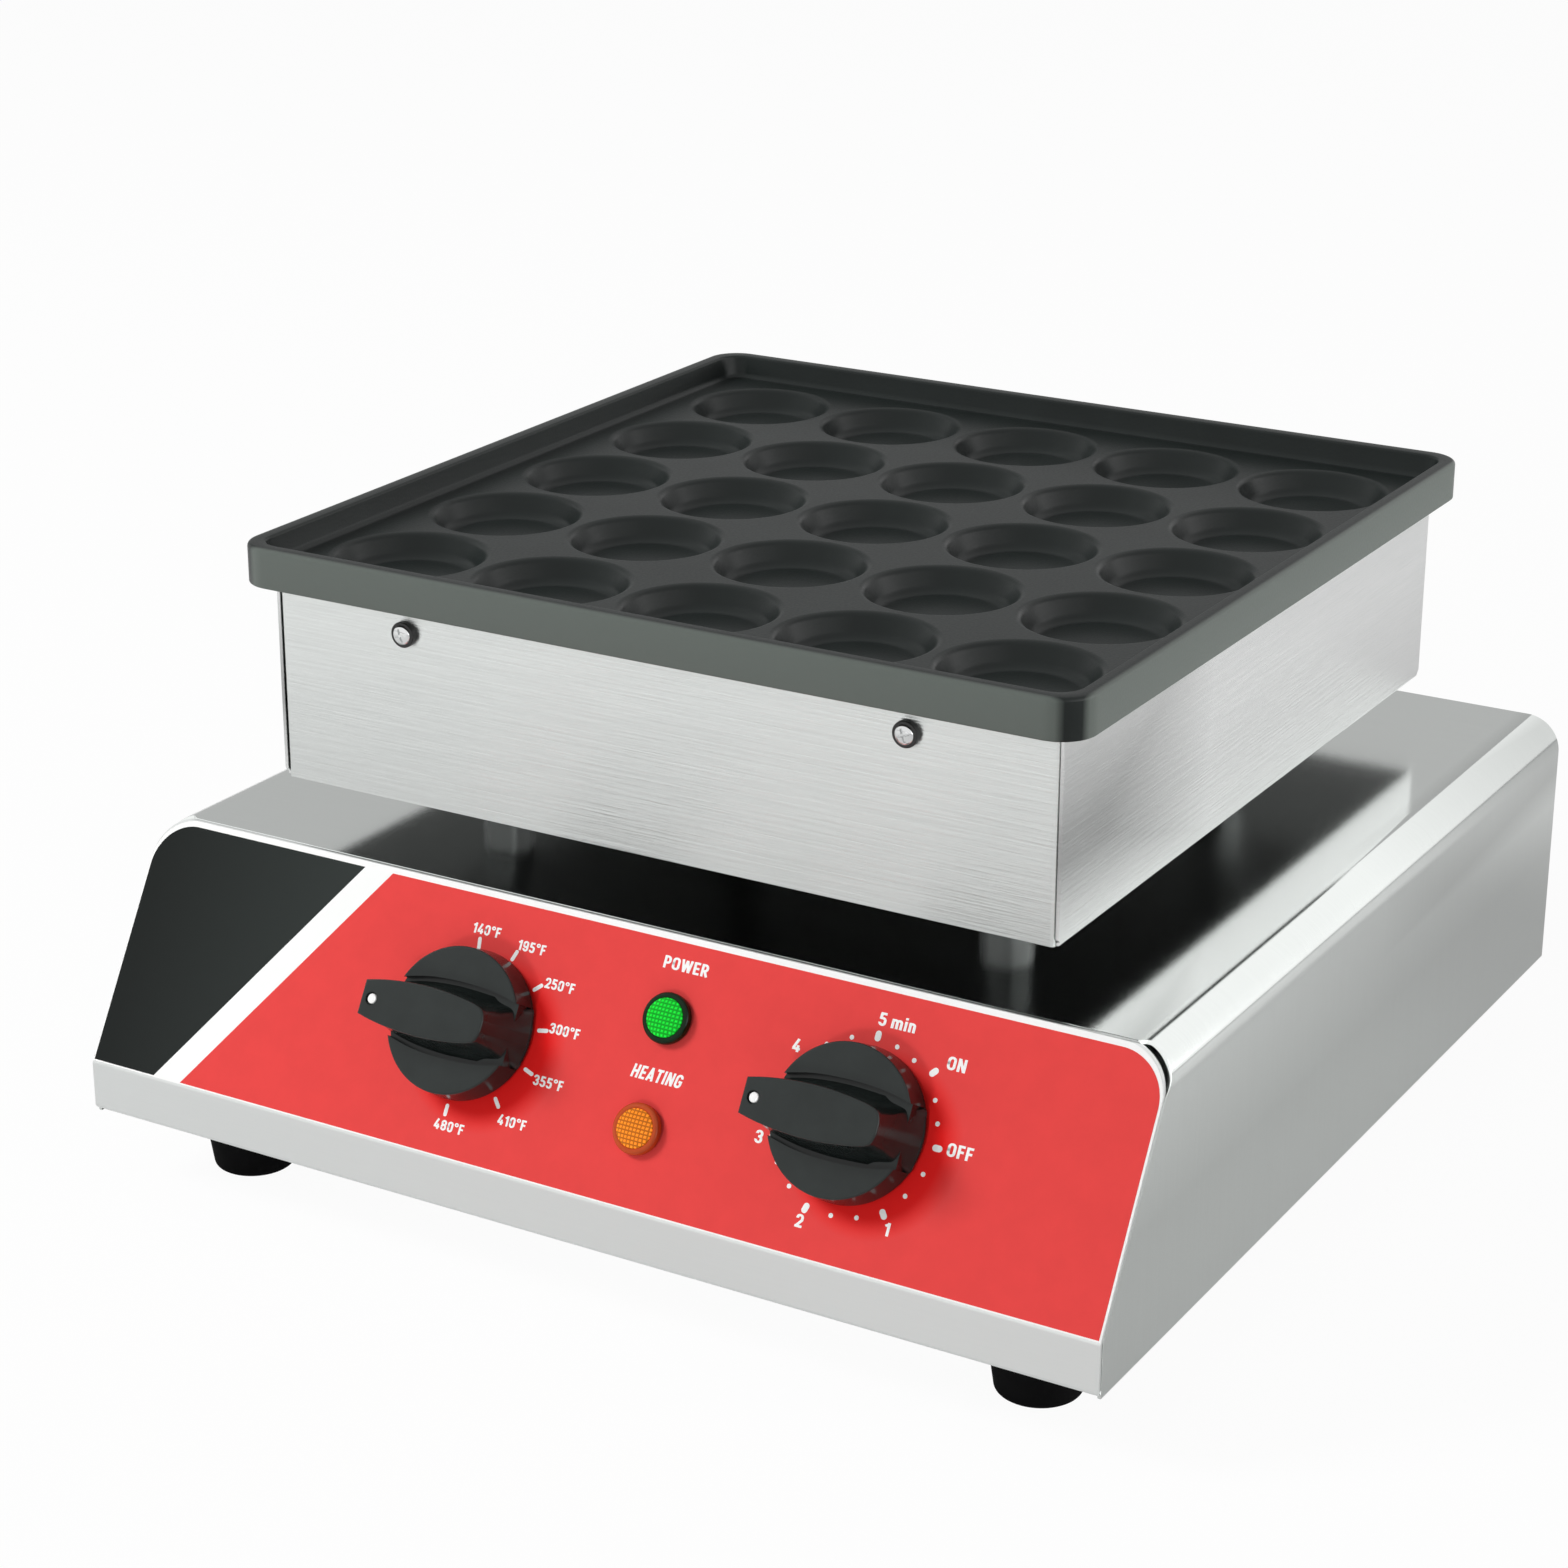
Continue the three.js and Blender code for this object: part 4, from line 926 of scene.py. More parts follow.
class Grid(Pattern):
    """Pattern that repeats a form in rows and columns round the origin."""

    def __init__(self) -> None:
        """Wires the tree."""
        spans = {"Span X": "Float", "Span Y": "Float", "Reach": "Float"}
        super().__init__("grid_of_forms", {"Columns": "Int", "Rows": "Int", **spans})
        w, given = self.w, self.given
        sizes = {"Size X": given["Span X"], "Size Y": given["Span Y"]}
        counts = {"Vertices X": given["Columns"], "Vertices Y": given["Rows"]}
        grid = w.named("GeometryNodeMeshGrid", {**sizes, **counts}).outputs["Mesh"]
        far = w.vector("LENGTH", w.node("GeometryNodeInputPosition").outputs[0]).outputs["Value"]
        cut = {"Geometry": grid, "Selection": w.math("GREATER_THAN", far, given["Reach"])}
        self.close(w.named("GeometryNodeDeleteGeometry", cut, domain="POINT").outputs[0], {})

    def lay(
        self,
        item: Object,
        counts: tuple[int, int],
        spans: Point,
        material: Material | None = None,
        reach: float = EVERYWHERE,
        merge: float = 0.0,
    ) -> None:
        """Repeats a form.

        Args:
            item: Object that holds the form.
            counts: Columns and rows.
            spans: From the first to the last form, along x and along y.
            material: Material of the result.
            reach: Distance from the origin up to which forms stay.
            merge: Distance up to which points are joined.
        """
        values = {"Columns": counts[0], "Rows": counts[1], "Span X": spans[0], "Span Y": spans[1]}
        self.run(item, {**values, "Reach": reach, "Merge": merge, "Material": material})


class Ring(Pattern):
    """Pattern that repeats a form on an arc round z. Angles run clockwise from the y axis."""

    def __init__(self) -> None:
        """Wires the tree."""
        kinds = {"Count": "Int", "Radius": "Float", "First Angle": "Float", "Step Angle": "Float"}
        super().__init__("ring_of_forms", kinds)
        w, given = self.w, self.given
        index = w.node("GeometryNodeInputIndex").outputs[0]
        angle = w.math("MULTIPLY_ADD", index, given["Step Angle"], given["First Angle"])
        x, y = (w.math("MULTIPLY", w.math(k, angle), given["Radius"]) for k in ("SINE", "COSINE"))
        place = w.fed("ShaderNodeCombineXYZ", x, y).outputs[0]
        points = w.named("GeometryNodePoints", {"Count": given["Count"], "Position": place})
        turn = w.fed("ShaderNodeCombineXYZ", 0.0, 0.0, w.math("MULTIPLY", angle, -1.0))
        self.close(points.outputs[0], {"Rotation": turn.outputs[0]})

    def lay(
        self, item: Object, count: int, radius: float, angles: Point, material: Material
    ) -> None:
        """Repeats a form.

        Args:
            item: Object that holds the form.
            count: How many there are.
            radius: Distance from the axis.
            angles: Angle of the first form, and from each to the next, in degrees.
            material: Material of the result.
        """
        first, step = (math.radians(angle) for angle in angles)
        values = {"Count": count, "Radius": radius, "First Angle": first, "Step Angle": step}
        self.run(item, {**values, "Merge": 0.0, "Material": material})


# Where the CAD is


CORNERS = ("front_left", "front_right", "back_left", "back_right")


@dataclass(frozen=True)
class Extent:
    """Lowest and highest corner of a CAD node, in millimetres."""

    low: Vector
    high: Vector

    @classmethod
    def of(cls, node: str) -> "Extent":
        """Measures a node at rest."""
        low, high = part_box(node)
        return cls(low / MM, high / MM)

    @property
    def middle(self) -> Vector:
        """Middle of the box."""
        return (self.low + self.high) / 2


@dataclass(frozen=True)
class Layout:
    """The sizes and places that several sub-assemblies share."""

    base: Extent
    sheet: float = 1.2
    gap: float = 0.3
    lip_height: float = 18.2
    setback: float = 43.6
    corner: float = 12.5
    panel_corner: float = 16
    film_side: float = 0.7
    film_top: float = 2.1
    film_foot: float = 1.2
    thermostat: Point = (-46.9, 43)
    timer: Point = (92.5, 43)
    power_lamp: Point = (22.6, 60.1)
    heating_lamp: Point = (22.6, 25.2)
    shaft_hole: float = 5
    lamp_hole: float = 6.55
    hole_reach: float = 6

    @property
    def slant(self) -> float:
        """Angle of the slanted face from the table, in radians."""
        return math.atan2(self.base.high.z - self.base.low.z - self.lip_height, self.setback)

    @property
    def slant_origin(self) -> Vector:
        """Middle of the top edge of the lip."""
        return Vector((0, self.base.low.y, self.base.low.z + self.lip_height))

    def on_slant(self, across: float = 0, up: float = 0, out: float = 0) -> Matrix:
        """Places a form on the slanted face, with its z pointing out of it."""
        turn = Matrix.Translation(self.slant_origin) @ Matrix.Rotation(self.slant, 4, "X")
        return turn @ Matrix.Translation((across, up, out))

    @property
    def width(self) -> float:
        """Width of the base."""
        return self.base.high.x - self.base.low.x

    @property
    def panel_top(self) -> float:
        """Top edge of the front panel, up the slant."""
        return (self.base.high.z - self.base.low.z - self.lip_height) / math.sin(self.slant)

    def panel_holes(self) -> list[Form]:
        """Makes the cutters for the holes in the panel, ready to be placed on the slant."""
        places = [(self.thermostat, self.shaft_hole), (self.timer, self.shaft_hole)]
        places += [(self.power_lamp, self.lamp_hole), (self.heating_lamp, self.lamp_hole)]
        reach = self.hole_reach
        return [Form().prism(circle(place, radius), -reach, reach) for place, radius in places]


class Assembly:
    """Something that hands its pieces to the frame."""

    body = "housing"

    def ride(self, item: Object, slot: str, *nodes: str) -> None:
        """Lets a piece ride on the body and hides the CAD nodes that it replaces.

        Args:
            item: The piece.
            slot: Material slot of the record; not used.
            nodes: CAD nodes that it replaces.
        """
        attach(item, self.body)
        if nodes:
            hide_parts(*nodes)
        log.info("%s: %d faces", item.name, len(item.data.polygons))


def dress(material: Material, *nodes: str) -> None:
    """Gives a material to CAD nodes that stay as they are."""
    for node in nodes:
        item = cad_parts[node]
        item.data.materials.clear()
        item.data.materials.append(material)
        log.info("%s: dressed in %s", node, material.name)


def mirrored(half: Sequence[Spot]) -> list[Spot]:
    """A folded line that is the same on both sides, from its first half."""
    return [*half, *((-x, up, bend) for x, up, bend in reversed(half))]


def dome_line(radius: float, height: float, steps: int) -> list[Point]:
    """Profile of a round head, from its top to its edge."""
    turns = [math.pi / 2 * k / steps for k in range(steps + 1)]
    return [(radius * math.sin(t), height * math.cos(t)) for t in turns]


def cut_bolt_holes(body: Object, radius: float, height: float, reach: float = 3) -> None:
    """Cuts the holes of the four post bolts in a level sheet."""
    for place in CORNERS:
        bolt = Extent.of(f"post_bolt_{place}").middle
        hole = circle((bolt.x, bolt.y), radius)
        combined(body, "DIFFERENCE", Form().prism(hole, height - reach, height + reach))


# Sub-assemblies


@dataclass
class BakingPlate(Assembly):
    """The cast plate with its rim and moulds."""

    grid: Grid
    width: float = 302.5
    depth: float = 304.5
    height: float = 13.4
    wall: float = 5.5
    floor_drop: float = 8.1
    corner: float = 12
    inner_corner: float = 8
    draft: float = 1.2
    fillet: float = 2.2
    inner_edge: float = 0.9
    outer_edge: float = 1.4
    bottom_edge: float = 0.6
    spigot: Spot = (277.6, 280.8, 8)
    spigot_shift: float = 1.4
    pitch: float = 55.6
    rows: int = 5
    mould_top: float = 25.2
    mould_foot: float = 21.2
    mould_depth: float = 8
    lip_round: float = 2.6
    floor_round: float = 4.5
    mould_sides: int = 64
    corner_steps: int = 8
    mould_flat: float = 1.8
    draft_angle: float = 8

    def mould_cell(self) -> Form:
        """Makes one square of the tray's floor with its mould."""
        half = self.pitch / 2
        outer = []
        for x, y in circle((0, 0), 1, self.mould_sides):
            reach = half / max(abs(x), abs(y))
            outer.append((x * reach, y * reach, 0))
        line = [
            (self.mould_top + self.mould_flat, 0, 0),
            (self.mould_top, 0, self.lip_round),
            (self.mould_foot, -self.mould_depth, self.floor_round),
            (self.mould_foot / 2, -self.mould_depth, 0),
            (self.mould_foot / 4, -self.mould_depth, 0),
        ]
        profile, _ = folded_sheet(line, 0.1, 10)
        rings = [outer]
        for radius, height in profile:
            rings.append([(x, y, height) for x, y in circle((0, 0), radius, self.mould_sides)])
        return Form().skin(rings, (False, True))

    def tray_rings(self) -> list[list[Spot]]:
        """Makes the rings from the moulds' edge out over the rim and under to the spigot."""
        straight = self.rows * self.mould_sides // 4 - 2 * self.corner_steps
        span = self.pitch * self.rows
        half = self.pitch / 2
        eighth = self.mould_sides // 8
        offsets = [half * math.tan(math.tau * k / self.mould_sides) for k in range(-eighth, eighth)]
        middles = [(cell - (self.rows - 1) / 2) * self.pitch for cell in range(self.rows)]
        along = [middle + offset for middle in middles for offset in offsets]
        edge = span / 2
        square = [(a, -edge) for a in along] + [(edge, a) for a in along]
        square += [(-a, edge) for a in along] + [(-edge, -a) for a in along]
        rings = [[(x, y, 0.0) for x, y in square]]

        def ring(grow: float, height: float, inner: bool) -> None:
            wall = self.wall if inner else 0
            radius = self.inner_corner if inner else self.corner
            size = (self.width - 2 * wall + 2 * grow, self.depth - 2 * wall + 2 * grow)
            line = even_ring(size, max(radius + grow, 0.5), 0, straight, self.corner_steps)
            rings.append([(x, y, height) for x, y in line])

        low, top = self.floor_drop - self.height, self.floor_drop
        fillet, lip, rim, foot = self.fillet, self.inner_edge, self.outer_edge, self.bottom_edge
        rounds = (
            ((-self.draft - fillet, fillet), fillet, -90, -self.draft_angle, 5, True),
            ((lip, top - lip), lip, 180, 90, 4, True),
            ((-rim, top - rim), rim, 90, 0, 5, False),
            ((-foot, low + foot), foot, 0, -90, 3, False),
        )
        for *bend, inner in rounds:
            for grow, height in arc(*bend):
                ring(grow, height, inner)
        wide, deep, drop = self.spigot
        line = even_ring((wide, deep), 1, self.spigot_shift, straight, self.corner_steps)
        rings.append([(x, y, low) for x, y in line])
        rings.append([(x, y, low - drop) for x, y in line])
        return rings

    def build(self, coating: Material) -> None:
        """Builds the casting and the lugs under it."""
        extent = Extent.of("baking_plate")
        middle_y = extent.middle.y
        floor_z = extent.high.z - self.floor_drop
        cell = self.mould_cell().raw("mould_cell")
        span = self.pitch * (self.rows - 1)
        self.grid.lay(cell, (self.rows, self.rows), (span, span), coating, merge=WELD)
        form = Form().skin(self.tray_rings(), (False, True))
        form.bm.from_mesh(cell.data)
        bpy.data.objects.remove(cell)
        bmesh.ops.remove_doubles(form.bm, verts=form.bm.verts, dist=2 * WELD)
        form.placed(Matrix.Translation((0, middle_y, floor_z)))
        plate = finished(form.raw("plate_casting"), coating, 50, weighted=False)
        low = floor_z + self.floor_drop - self.height - self.spigot[2]
        self.ride(plate, "non_stick_coating", "baking_plate")
        self.ride(self.lugs(low - 0.1, coating), "non_stick_coating", "baking_plate")

    def lugs(self, top: float, coating: Material) -> Object:
        """Keeps what hangs under the spigot of the CAD plate.

        Args:
            top: Height to cut at.
            coating: Material of the plate.

        Returns:
            The lugs, bosses and sleeve as one piece.
        """
        form = Form()
        form.bm.from_mesh(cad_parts["baking_plate"].data)
        form.placed(Matrix.Scale(1 / MM, 4))
        bm = form.bm
        bmesh.ops.remove_doubles(bm, verts=bm.verts, dist=WELD)
        parts = [*bm.verts, *bm.edges, *bm.faces]
        bmesh.ops.bisect_plane(
            bm, geom=parts, plane_co=(0, 0, top), plane_no=(0, 0, 1), clear_outer=True
        )
        bmesh.ops.holes_fill(bm, edges=[edge for edge in bm.edges if edge.is_boundary], sides=0)
        return form.made("plate_lugs", coating)


@dataclass
class Box(Assembly):
    """The sheet box under the plate, with its screws."""

    width: float = 284
    sheet: float = 1.2
    gap: float = 0.3
    bend: float = 1.3
    cut_edge: float = 0.22
    flange: float = 12
    hole_radius: float = 6.05
    setback: float = 1.35
    shadow_ring_radius: float = 4.25
    shadow_ring_height: float = 2.1
    dome_radius: float = 3.2
    dome_sink: float = 0.5
    shank_radius: float = 2.5
    shank_length: float = 12
    slot_half: Point = (2.2, 0.4)
    slot_depth: float = 1.1
    slot_turns: Point = (20, 110)
    shadow_ring_round: float = 0.4
    fold_height: float = 2.6

    def build(
        self, steel: Material, end_steel: Material, chrome: Material, black: Material
    ) -> None:
        """Builds the sheets and the four screws."""
        shell = Extent.of("box_shell")
        half = self.width / 2
        low, high = shell.low.z, shell.high.z
        fold = low + self.fold_height

        def short(point: Point) -> float:
            """How much shorter the floor is than the walls, at each end."""
            return self.setback if point[1] < fold - 0.1 else 0

        line = mirrored([(-half, high, 0), (-half, fold, 0), (-half, low, self.bend)])
        form = Form().sheet(
            folded_sheet(line, -self.sheet),
            lambda p: (p[0], shell.low.y + short(p), p[1]),
            lambda p: (p[0], shell.high.y - short(p), p[1]),
        )
        body = form.bevel(self.cut_edge).raw("box_shell_sheet")
        cut_bolt_holes(body, self.hole_radius, low)
        self.ride(finished(body, steel), "brushed_steel", "box_shell")
        for place in ("front", "back"):
            self.end_panel(place, end_steel)
        for place in CORNERS:
            self.screw(place, chrome, black)

    def end_panel(self, place: str, steel: Material) -> None:
        """Builds the front or the back sheet of the box."""
        extent = Extent.of(f"box_{place}_panel")
        side = -1 if place == "front" else 1
        face = extent.low.y if side < 0 else extent.high.y
        half = (extent.high.x - extent.low.x) / 2
        line = mirrored([(half, self.flange, 0), (half, 0, self.bend)])
        low = Extent.of("box_shell").low.z

        def foot(point: Point) -> float:
            """The face covers the floor's edge, and the flanges stand on the floor."""
            return low + (0 if point[1] < self.sheet + 0.01 else self.sheet + self.gap)

        form = Form().sheet(
            folded_sheet(line, self.sheet),
            lambda p: (p[0] * -side, face - side * p[1], foot(p)),
            lambda p: (p[0] * -side, face - side * p[1], extent.high.z),
        )
        piece = form.bevel(self.cut_edge).made(f"box_{place}_sheet", steel)
        self.ride(piece, "brushed_steel", f"box_{place}_panel")

    def screw(self, place: str, chrome: Material, black: Material) -> None:
        """Builds one screw: a round head on a black ring, a dark piece that stands in for the
        shadow gap round the head.
        """
        extent = Extent.of(f"dome_screw_{place}")
        front = "front" in place
        sheet = Extent.of("box_front_panel" if front else "box_back_panel")
        face, end = (sheet.low.y, extent.low.y) if front else (sheet.high.y, extent.high.y)
        head = abs(end - face)
        turn = Matrix.Rotation(math.radians(90 if front else -90), 4, "X")
        stand = Matrix.Translation((extent.middle.x, face, extent.middle.z)) @ turn
        top, radius, shank, tip = (
            self.shadow_ring_height,
            self.dome_radius,
            self.shank_radius,
            -self.shank_length,
        )
        dome = [(x, top + z) for x, z in dome_line(radius, head - top, 10)]
        low = top - self.dome_sink
        profile = [*dome, (radius, low), (shank, low), (shank, tip), (0, tip)]
        body = Form().turned(profile[::-1], 48).raw("screw")
        for angle in self.slot_turns:
            slot = Form().prism(rectangle(*self.slot_half), head - self.slot_depth, head + 1)
            slot.placed(Matrix.Rotation(math.radians(angle), 4, "Z"))
            combined(body, "DIFFERENCE", slot)
        body.data.transform(stand)
        self.ride(finished(body, chrome, 40), "bright_steel", f"dome_screw_{place}")
        # Painted shade: this black ring round the head stands in for the shadow gap there.
        inner, outer, edge = radius + 0.05, self.shadow_ring_radius, self.shadow_ring_round
        rim = arc((outer - edge, top - edge), edge, 0, 90, 4)
        ring = [(inner, 0.02), (outer, 0.02), *rim, (inner, top), (inner, 0.02)]
        shadow_ring = Form().turned(ring, 48).placed(stand).made(f"collar_{place}", black)
        self.ride(shadow_ring, "black_plastic", f"dome_screw_{place}")


@dataclass
class Base(Assembly):
    """The base housing with its posts and feet."""

    layout: Layout
    grid: Grid
    panel_bend: float = 2
    top_bend: float = 1.25
    top_lap: float = 1.3
    panel_flange: float = 12
    panel_lift: float = 1
    panel_over: float = 0.85
    corner_relief: float = 2.6
    cut_edge: float = 0.2
    bolt_hole: float = 6.05
    vent: Point = (34, 4)
    vent_count: int = 8
    vent_span: float = 77.0
    vent_middle: Point = (-70, 43.3)
    gland_hole: float = 8.25
    screw_inset: Point = (18, 30)
    screw_drop: float = 3
    post_edge: float = 0.5
    foot_radii: Point = (17.1, 13.8)
    foot_rounds: Point = (1, 2.2)
    foot_pocket: float = 8
    foot_bore: float = 2.75
    foot_floor: float = 15

    def build(
        self,
        cover_steel: Material,
        panel_steel: Material,
        plain_steel: Material,
        rubber: Material,
        bright: Material,
        satin: Material,
    ) -> None:
        """Builds the sheets, the posts and the feet."""
        self.cover(cover_steel)
        self.front_panel(panel_steel)
        self.back_panel(plain_steel, bright)
        for place in CORNERS:
            self.post(place, satin)
            self.foot(place, rubber)

    def cover(self, steel: Material) -> None:
        """Builds the folded cover, cut to the slant."""
        lay = self.layout
        low, high = lay.base.low, lay.base.high
        half = high.x
        height = high.z - low.z
        left = [(-half, 0, 0), (-half, lay.lip_height, 0), (-half, height, lay.corner)]
        faces = folded_sheet(mirrored(left), lay.sheet, 16)
        rise = height - lay.lip_height
        behind = lay.sheet + 0.4

        def front(point: Point) -> float:
            """Keeps the cut edge behind the front panel, with a relief in the bends."""
            slanted = (point[1] - lay.lip_height) / rise * lay.setback
            slanted += behind / math.sin(lay.slant)
            over_x, over_z = abs(point[0]) - half + lay.corner, point[1] - height + lay.corner
            relief = 0.0
            if over_x > 0 and over_z > 0:
                relief = self.corner_relief * min(1, 2 * math.sin(2 * math.atan2(over_z, over_x)))
            return low.y + max(behind, slanted) + relief

        form = Form().sheet(
            faces,
            lambda p: (p[0], front(p), low.z + p[1]),
            lambda p: (p[0], high.y, low.z + p[1]),
        )
        body = form.bevel(self.cut_edge).raw("base_cover_sheet")
        cut_bolt_holes(body, self.bolt_hole, high.z)
        self.ride(finished(body, steel), "brushed_steel", "base_cover")

    def front_panel(self, steel: Material) -> None:
        """Builds the lip and the slanted sheet behind the film."""
        lay = self.layout
        low = lay.base.low
        top = lay.panel_top
        foot_z = low.z + self.panel_lift
        line = [
            (low.y + self.panel_flange, foot_z, 0),
            (low.y, foot_z, self.panel_bend),
            (low.y, low.z + lay.lip_height, self.panel_bend),
            (low.y + lay.setback, lay.base.high.z, self.top_bend),
            (low.y + lay.setback + self.top_lap, lay.base.high.z, 0),
        ]

        def half(point: Point) -> float:
            """Half width, less where the foot's flange goes between the walls of the cover."""
            flange = point[1] < foot_z + self.panel_bend and point[0] > low.y + lay.sheet + 0.05
            return lay.width / 2 - (lay.sheet + lay.gap if flange else 0)

        form = Form().sheet(
            folded_sheet(line, lay.sheet, 10),
            lambda p: (-half(p), p[0], p[1]),
            lambda p: (half(p), p[0], p[1]),
        )
        body = form.bevel(self.cut_edge).raw("front_panel_sheet")
        width, over = lay.width + 0.002, top + self.panel_over
        outline = round_top(width, -60, over, lay.panel_corner, 20)
        combined(body, "INTERSECT", Form().prism(outline, -60, 30).placed(lay.on_slant()))
        for hole in lay.panel_holes():
            combined(body, "DIFFERENCE", hole.placed(lay.on_slant()))
        self.ride(finished(body, steel), "brushed_steel", "front_panel")

    def back_panel(self, steel: Material, bright: Material) -> None:
        """Builds the back sheet with its vents and its screws."""
        extent = Extent.of("back_panel")
        gland = Extent.of("cable_gland_body").middle
        low, high, sheet = extent.low.z, extent.high.z, self.layout.sheet
        width = extent.high.x - extent.low.x
        outline = round_top(width, low, high, self.layout.corner - sheet, 16)
        body = Form().prism(outline, 0, sheet).bevel(self.cut_edge).raw("back_panel_sheet")
        vent = Form().prism(obround((0, 0), *self.vent), -2, 4).raw("vent")
        self.grid.lay(vent, (self.vent_count, 1), (self.vent_span, 0.0))
        across, up = self.vent_middle
        vent.data.transform(Matrix.Translation((across, low + up, 0)))
        hole = Form().prism(circle((gland.x, gland.z), self.gland_hole), -2, 4)
        combined(body, "DIFFERENCE", vent, hole)
        upright = Matrix.Rotation(math.radians(90), 4, "X")
        body.data.transform(Matrix.Translation((0, extent.high.y, 0)) @ upright)
        self.ride(finished(body, steel), "brushed_steel", "back_panel")
        screws = pan_screw(3.2, 1.5).raw("back_panel_screws")
        spans = (width - self.screw_inset[0], high - low - self.screw_inset[1])
        self.grid.lay(screws, (2, 2), spans, bright)
        spot = Matrix.Translation((0, extent.high.y, extent.middle.z - self.screw_drop))
        screws.data.transform(spot @ Matrix.Rotation(math.radians(-90), 4, "X"))
        self.ride(finished(screws, bright, 40), "bright_steel")

    def post(self, place: str, bright: Material) -> None:
        """Builds one post sleeve between the base and the box."""
        extent = Extent.of(f"post_sleeve_{place}")
        radius = (extent.high.x - extent.low.x) / 2
        low, high = extent.low.z, extent.high.z
        edge, bore = self.post_edge, self.bolt_hole
        outer = [(radius - edge, low), (radius, low + edge), (radius, high - edge)]
        profile = [(bore, low), *outer, (radius - edge, high), (bore, high), (bore, low)]
        form = turned_at(extent, profile)
        self.ride(form.made(f"post_{place}", bright), "bright_steel", f"post_sleeve_{place}")

    def foot(self, place: str, rubber: Material) -> None:
        """Builds one tapered rubber foot."""
        extent = Extent.of(f"foot_{place}")
        height = extent.high.z
        (top, bottom), (shoulder, toe) = self.foot_radii, self.foot_rounds
        outer = arc((bottom - toe, toe), toe, -90, -6, 6)
        outer += arc((top - shoulder, height - shoulder), shoulder, 0, 90, 4)
        pocket, bore, floor = self.foot_pocket, self.foot_bore, self.foot_floor
        inner = [(bore, height), (bore, floor), (pocket, floor), (pocket, 0)]
        form = turned_at(extent, [(pocket, 0), *outer, *inner])
        self.ride(form.made(f"rubber_foot_{place}", rubber), "black_rubber", f"foot_{place}")


def turned_at(extent: Extent, profile: Sequence[Point]) -> Form:
    """Turns a profile round the upright middle line of a CAD node."""
    middle = extent.middle
    return Form().turned(profile).placed(Matrix.Translation((middle.x, middle.y, 0)))


def pan_screw(radius: float, height: float) -> Form:
    """A small round-headed screw whose head looks along z and whose seat is at z = 0."""
    shank = radius * 0.45
    head = dome_line(radius, height, 5)[::-1]
    return Form().turned([(0, -3), (shank, -3), (shank, 0), *head], 24)


